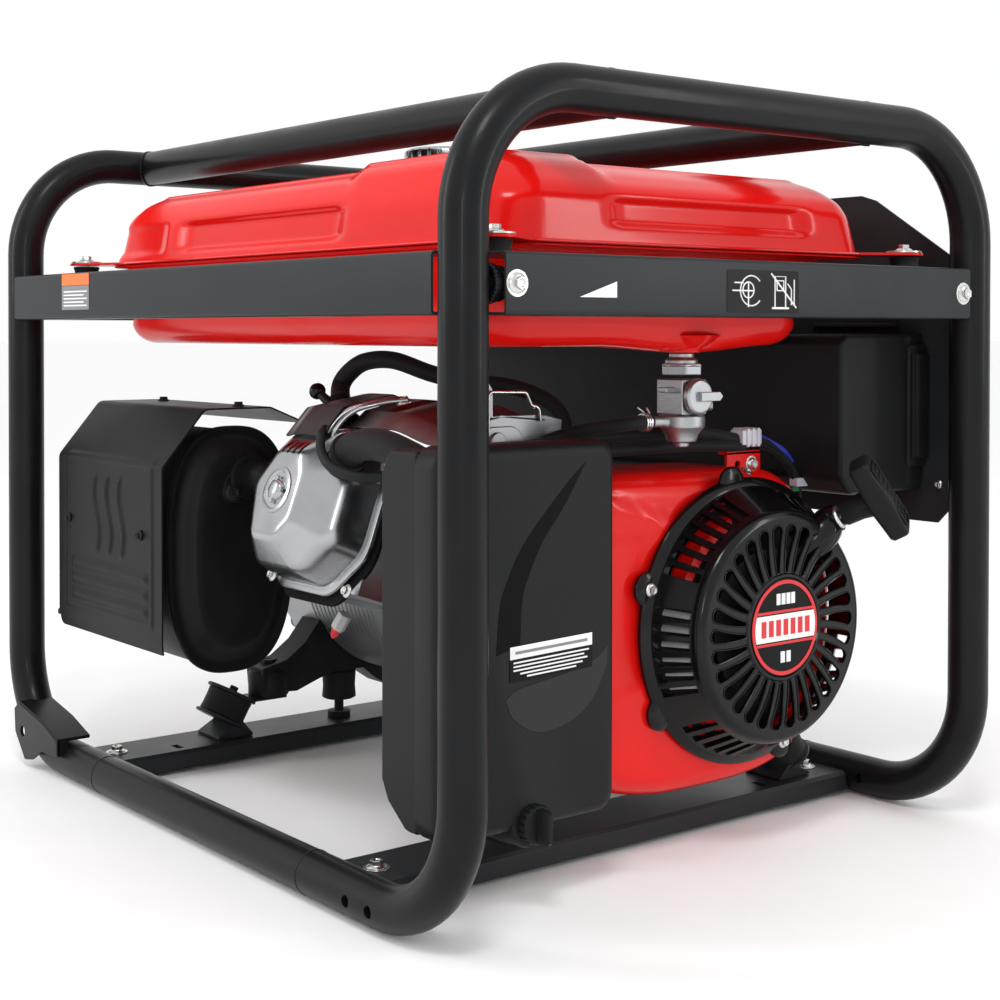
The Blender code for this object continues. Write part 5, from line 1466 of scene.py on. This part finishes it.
def make_fuel_line():
    x, y, top = 246, 24, 379.7
    way = (0, 0, -1)
    neck = [(0, 8), (0, 9.5), (4, 9.5), (5, 12.5), (9, 12.5), (10, 15), (10.5, 16)]
    upper = lathe(neck, (x, y, top), way, 48)
    nut = hexagon((x, y, top - 8), way, 27, 9)
    square = box(x - 14, x + 14, y - 13, y + 13, top - 47, top - 20)
    bowl = lathe([(46, 13), (48, 18), (56, 18), (58, 16.5), (62, 13), (68, 11), (68.4, 6), (72, 5.6)],
            (x, y, top), way, 56)
    stub = lathe([(0, 5.2), (8, 5.2), (10, 4.2), (19, 4.4), (21, 3.6)], (x, y - 11, top - 52), (0, -1, 0),
            32)
    piece("fuel_cock_body", joined(upper, nut, square, bowl, stub), "alloy", "fuel_valve", bevel=1.2,
            segments=3, angle=35)
    tag = rod((x, y + 12, top - 40), (x + 9, y + 24, top - 40), 4.5)
    piece("fuel_cock_lug", joined(tag, box(x - 4, x + 6, y - 22, y - 12, top - 30, top - 26)), "alloy",
            bevel=0.8)
    plate = lathe([(0, 13.4), (1.5, 14), (4.5, 13.6), (6, 12)], (x + 15.3, y, top - 33), (1, 0, 0), 56)
    arm = [(y - 3, top - 36.5), (y + 17, top - 36.5), (y + 20, top - 33), (y + 17, top - 29.5),
            (y - 3, top - 29.5)]
    handle = prism(arm, "x", x + 20.6, x + 25)
    piece("fuel_cock_lever", joined(plate, handle), "alloy", "fuel_valve_lever", bevel=0.7)
    start = Vector((x, y - 32.3, top - 52))
    line = smooth_line([start, start + Vector((0, -14, 0)), (238, -32, 326), (214, -48, 321),
            (184, -64, 310), (164, -74, 294), (158, -80, 262)], 10)
    piece("fuel_pipe", sweep(line, 5.4, 32), "rubber_black", "fuel_hose", angle=60)
    clamp = []
    for k in range(3):
        p = start + Vector((0, -4 - 2.2 * k, 0))
        clamp.append(lathe([(-0.7, 5.6), (-0.7, 6.8), (0.7, 6.8), (0.7, 5.6)], p, (0, 1, 0), 40,
                closed=True))
    clamp.append(sweep([start + Vector((3, -4, 7)), start + Vector((5, -9, 11))], 0.8, 8))
    clamp.append(sweep([start + Vector((-3, -4, 7)), start + Vector((-5, -9, 11))], 0.8, 8))
    piece("fuel_pipe_clamp", joined(*clamp), "zinc", angle=50)


# Wiring

def make_wiring():
    loom = smooth_line([(196, -110, 308), (204, -70, 312), (212, -20, 316), (220, 30, 317),
            (226, 70, 315), (228, 104, 309)], 10)
    loom2 = smooth_line([(200, -110, 300), (210, -60, 303), (218, -10, 305), (226, 40, 306),
            (230, 80, 305), (232, 106, 303)], 10)
    piece("loom_sleeves", joined(sweep(loom, 5.0, 20), sweep(loom2, 4.4, 20)), "rubber_black",
            "wiring_loom", angle=60)
    ends = []
    for k in range(5):
        dx, dz = 3 * math.cos(k * 1.3), 3 * math.sin(k * 1.3)
        ends.append(sweep(smooth_line([(228 + dx, 118, 308 + dz), (236, 132 + k, 302 + dz),
                (244 + dx, 146 + 2 * k, 288 - 2 * k),
                                       (240, 160 + k, 268 - 4 * k), (232 + dx, 170, 248)], 8), 2.2, 12))
    piece("loom_tails", joined(*ends), "rubber_black", angle=60)
    connector = box(222, 236, 102, 124, 305, 317)
    teeth = [box(220.5, 237.5, 106 + 6 * k, 109 + 6 * k, 303.5, 318.5) for k in range(3)]
    piece("loom_connector", joined(connector, *teeth), NYLON_WHITE, bevel=0.8)
    blue = [sweep(smooth_line([(229, 124, 309 + 2 * k), (234, 134, 306 + k), (240, 146, 298 + k),
            (242, 154, 290)], 8), 1.5, 10) for k in range(3)]
    piece("loom_blue_wires", joined(*blue), WIRE_BLUE)
    green = box(238, 246, 150, 158, 266, 270)
    piece("loom_green_clip", green, WIRE_GREEN, bevel=0.6)
    piece("loom_small_clip", box(240, 249, 152, 166, 270, 277), NYLON_WHITE, bevel=0.8)


# Control panel

def make_panel():
    half = [(304, 238), (318, 252), (318, 457), (238, 508), (222, 513)]
    outline = half + [(-u, v) for u, v in half[::-1]]
    plate = prism(outline, "y", 262, 264)
    plate = carved(plate, box(-150, 150, 257, 270, 290, 380))
    piece("panel_plate", plate, "beam_black", "panel_sheet", bevel=0.5)
    for i, (px, pz) in enumerate(((306, 424), (306, 270), (-306, 424), (-306, 270))):
        bolt(f"panel_screw_{i}", (px, 261.6, pz), (0, -1, 0), 2.6, washer=False)
        bolt(f"panel_screw_out_{i}", (px, 264.2, pz), (0, 1, 0), 2.6, washer=False)
    profile = [(157, 279), (169, 265), (261.7, 265), (261.7, 394), (163, 394), (157, 388)]
    shell = prism(profile, "x", -200, 290)
    piece("panel_box_shell", shell, "plastic_black", "panel_box", bevel=4.0, segments=4, angle=30)
    step = box(290, 296, 240, 261.6, 292, 378)
    rim = rings([[(x, y, z) for y, z in soft_polygon([(238 + i, 284 + i), (262, 284 + i), (262, 386 - i),
            (238 + i, 386 - i)], 4)]
                 for x, i in ((284, 0), (291.5, 0), (293, 1.5))])
    piece("panel_box_step", joined(step, rim), "plastic_black", bevel=1.2)
    ledge = box(170, 262, 258.8, 262, 400, 452)
    border = carved(ledge, box(173, 259, 250, 270, 403, 449))
    piece("panel_inner_frame", border, "beam_black", bevel=0.5)
    make_sockets()


def make_sockets():
    plate = rings([[(x, y, z) for x, z in soft_polygon([(-156 + i, 284 + i), (156 - i, 284 + i),
            (156 - i, 386 - i), (-156 + i, 386 - i)], 8)]
                   for y, i in ((264.3, 0), (267, 0), (268, 1))])
    cuts = [box(99, 121, 250, 290, 320, 350), rod((110, 250, 300), (110, 290, 300), 6.3)]
    for x in (-40, 40):
        for dx in (-9, 9):
            cuts.append(rod((x + dx, 255, 335), (x + dx, 285, 335), 2.4))
    plate = carved(plate, *cuts)
    bosses = []
    for x in (-40, 40):
        body = lathe([(0, 29), (0, 30), (4, 29), (5, 27.5), (9, 27), (9.6, 25.8), (9.6, 20.5), (3.4, 20),
                (3.4, 3)], (x, 265.4, 335), (0, 1, 0), 72)
        pins = [rod((x + dx, 255, 335), (x + dx, 285, 335), 2.4) for dx in (-9, 9)]
        bosses.append(carved(body, *pins))
        for dz in (-17, 17):
            bosses.append(box(x - 2.4, x + 2.4, 268, 273.5, 335 + dz - 1.6, 335 + dz + 1.6))
    piece("socket_front", joined(plate, *bosses), "plastic_black", "socket_plate", bevel=0.6)
    meter = lathe([(0, 27), (0.6, 28), (5, 27), (6, 25.5), (6, 22.6), (4.4, 22), (4.4, 1)],
            (-110, 266.6, 335), (0, 1, 0), 72)
    piece("meter_bezel", meter, "gloss_black", angle=40)
    piece("meter_dial", lathe([(0, 21.8), (0.4, 21.8)], (-110, 270.9, 335), (0, 1, 0), 64), INK_WHITE)
    ticks = []
    for i in range(11):
        a = math.radians(-60 + 12 * i)
        u, v = math.sin(a), math.cos(a)
        p = Vector((-110 + 17 * u, 271.5, 333 + 17 * v))
        ticks.append(sweep([p, p + Vector((2.6 * u, 0, 2.6 * v))], 0.35, 6))
    ticks.append(sweep([(-110, 271.8, 325), (-117, 271.8, 349)], 0.5, 6))
    piece("meter_marks", joined(*ticks), INK_BLACK)
    polished("engine_switch", 1.2)
    polished("breaker_button", 1.0)
    for i, (x, z) in enumerate(((-148, 292), (148, 292), (-148, 378), (148, 378))):
        bolt(f"socket_screw_{i}", (x, 268.2, z), (0, 1, 0), 2.6, washer=False)


# Markings on the beams

def make_markings():
    x = 356.1
    wedge = prism([(-174, 418), (-142, 418), (-142, 428.5)], "x", x, x + 0.2)
    piece("choke_wedge_mark", wedge, INK_WHITE)
    piece("pictogram_plate", prism(soft_polygon([(-40, 409), (33, 409), (33, 439), (-40, 439)], 2), "x",
            x, x + 0.2), INK_BLACK)
    lines = []

    def stroke(points, r=0.55):
        lines.append(sweep([Vector((x + 0.25, y, z)) for y, z in points], r, 6))

    def loop(cy, cz, ry, rz, a0=0, a1=360, n=32):
        return [(cy + ry * math.cos(math.radians(a0 + (a1 - a0) * i / n)),
                cz + rz * math.sin(math.radians(a0 + (a1 - a0) * i / n))) for i in range(n + 1)]
    stroke(loop(-19, 425, 5.5, 5.5))
    stroke(loop(-16, 424.5, 11, 10.5, 40, 320))
    stroke([(-33, 430), (-24, 430)])
    stroke([(-35, 424.5), (-14, 424.5)])
    stroke([(-19, 431), (-19, 413)])
    stroke([(8, 413), (8, 435), (19, 435), (19, 413)])
    stroke([(5, 412.6), (22, 412.6)], 0.8)
    stroke([(10, 425), (17, 425), (17, 432), (10, 432), (10, 425)])
    stroke([(21, 430), (25, 426), (25, 415), (28, 415), (28, 433)])
    stroke([(4, 437), (30, 413)], 0.7)
    piece("pictogram_lines", joined(*lines), INK_WHITE, angle=60)
    y = -271.1
    piece("side_sticker_top", prism([(-222, 435), (-167, 435), (-167, 445), (-222, 445)], "y", y,
            y - 0.2), INK_ORANGE)
    piece("side_sticker_low", prism([(-222, 414), (-167, 414), (-167, 434.6), (-222, 434.6)], "y", y,
            y - 0.2), INK_GREY)
    rows = [prism([(-218, z), (-171 - 6 * (k % 2), z), (-171 - 6 * (k % 2), z + 1.2), (-218, z + 1.2)],
            "y", y - 0.2, y - 0.35)
            for k, z in enumerate((417, 420, 423, 426, 429))]
    piece("side_sticker_rules", joined(*rows), INK_WHITE)


# Camera and light

def make_camera():
    yaw, pitch, roll = math.radians(141.405), math.radians(0.827), math.radians(0.065)
    forward = Vector((math.cos(yaw) * math.cos(pitch), math.sin(yaw) * math.cos(pitch), -math.sin(pitch)))
    right = forward.cross(Vector((0, 0, 1))).normalized()
    up = right.cross(forward)
    right, up = right * math.cos(roll) + up * math.sin(roll), up * math.cos(roll) - right * math.sin(roll)
    camera = placed("camera", bpy.data.cameras.new("camera"))
    turn = Matrix((right, up, -forward)).transposed().to_4x4()
    camera.matrix_world = Matrix.Translation((1.1738, -0.8794, 0.3962)) @ turn
    camera.data.sensor_width = 36
    camera.data.lens = 60.67
    camera.data.shift_x = -0.0152
    camera.data.shift_y = -0.1447
    bpy.context.scene.camera = camera


def area_light(name, spot, aim, size, power, colour=(1, 1, 1)):
    data = bpy.data.lights.new(name, "AREA")
    data.shape = "RECTANGLE"
    data.size, data.size_y = size
    data.energy = power
    data.color = colour
    lamp = placed(name, data)
    lamp.location = spot
    lamp.rotation_euler = (Vector(aim) - Vector(spot)).to_track_quat("-Z", "Y").to_euler()


def make_studio():
    bm = bmesh.new()
    bmesh.ops.create_grid(bm, x_segments=2, y_segments=2, size=60)
    mesh = bpy.data.meshes.new("floor")
    bm.to_mesh(mesh)
    bm.free()
    floor = placed("floor", mesh)
    floor.location = (0, 0, -0.0004)
    mesh.materials.append(surface("floor_white", (0.96, 0.96, 0.96), 0.6, grain=40, bump=0.0,
            mottle=0.005, shine=0.1))
    world = bpy.data.worlds.new("studio")
    world.use_nodes = True
    world.node_tree.nodes["Background"].inputs["Color"].default_value = (1, 1, 1, 1)
    world.node_tree.nodes["Background"].inputs["Strength"].default_value = 1.0
    bpy.context.scene.world = world
    bpy.context.scene.view_settings.view_transform = "Standard"
    area_light("key", (1.2, -1.0, 2.2), (0, 0, 0.3), (0.5, 0.5), 16)
    area_light("left_strip", (-1.1, -1.7, 1.1), (0, 0, 0.3), (0.25, 1.3), 11)
    area_light("right_strip", (1.7, 1.2, 0.9), (0.1, 0, 0.3), (0.2, 1.3), 8)
    area_light("glint", (1.7, -1.5, 0.75), (0, 0, 0.35), (0.12, 0.5), 3)


def main():
    make_camera()
    make_studio()
    make_frame()
    make_beams()
    for side in (-1, 1):
        corner_bracket(side)
    make_tank()
    make_blower()
    make_recoil()
    make_air_cleaner()
    make_shield()
    make_muffler()
    make_valve_cover()
    make_shroud()
    make_ignition()
    make_snorkel()
    make_carburettor()
    make_fins()
    make_alternator()
    make_block_details()
    make_foot()
    make_fuel_line()
    make_wiring()
    make_panel()
    make_markings()
    done = set()
    for obj in bpy.data.objects:
        done.update(obj.get("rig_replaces", []))
    for node in sorted(set(frame["nodes"]) - done):
        polished(node)


main()
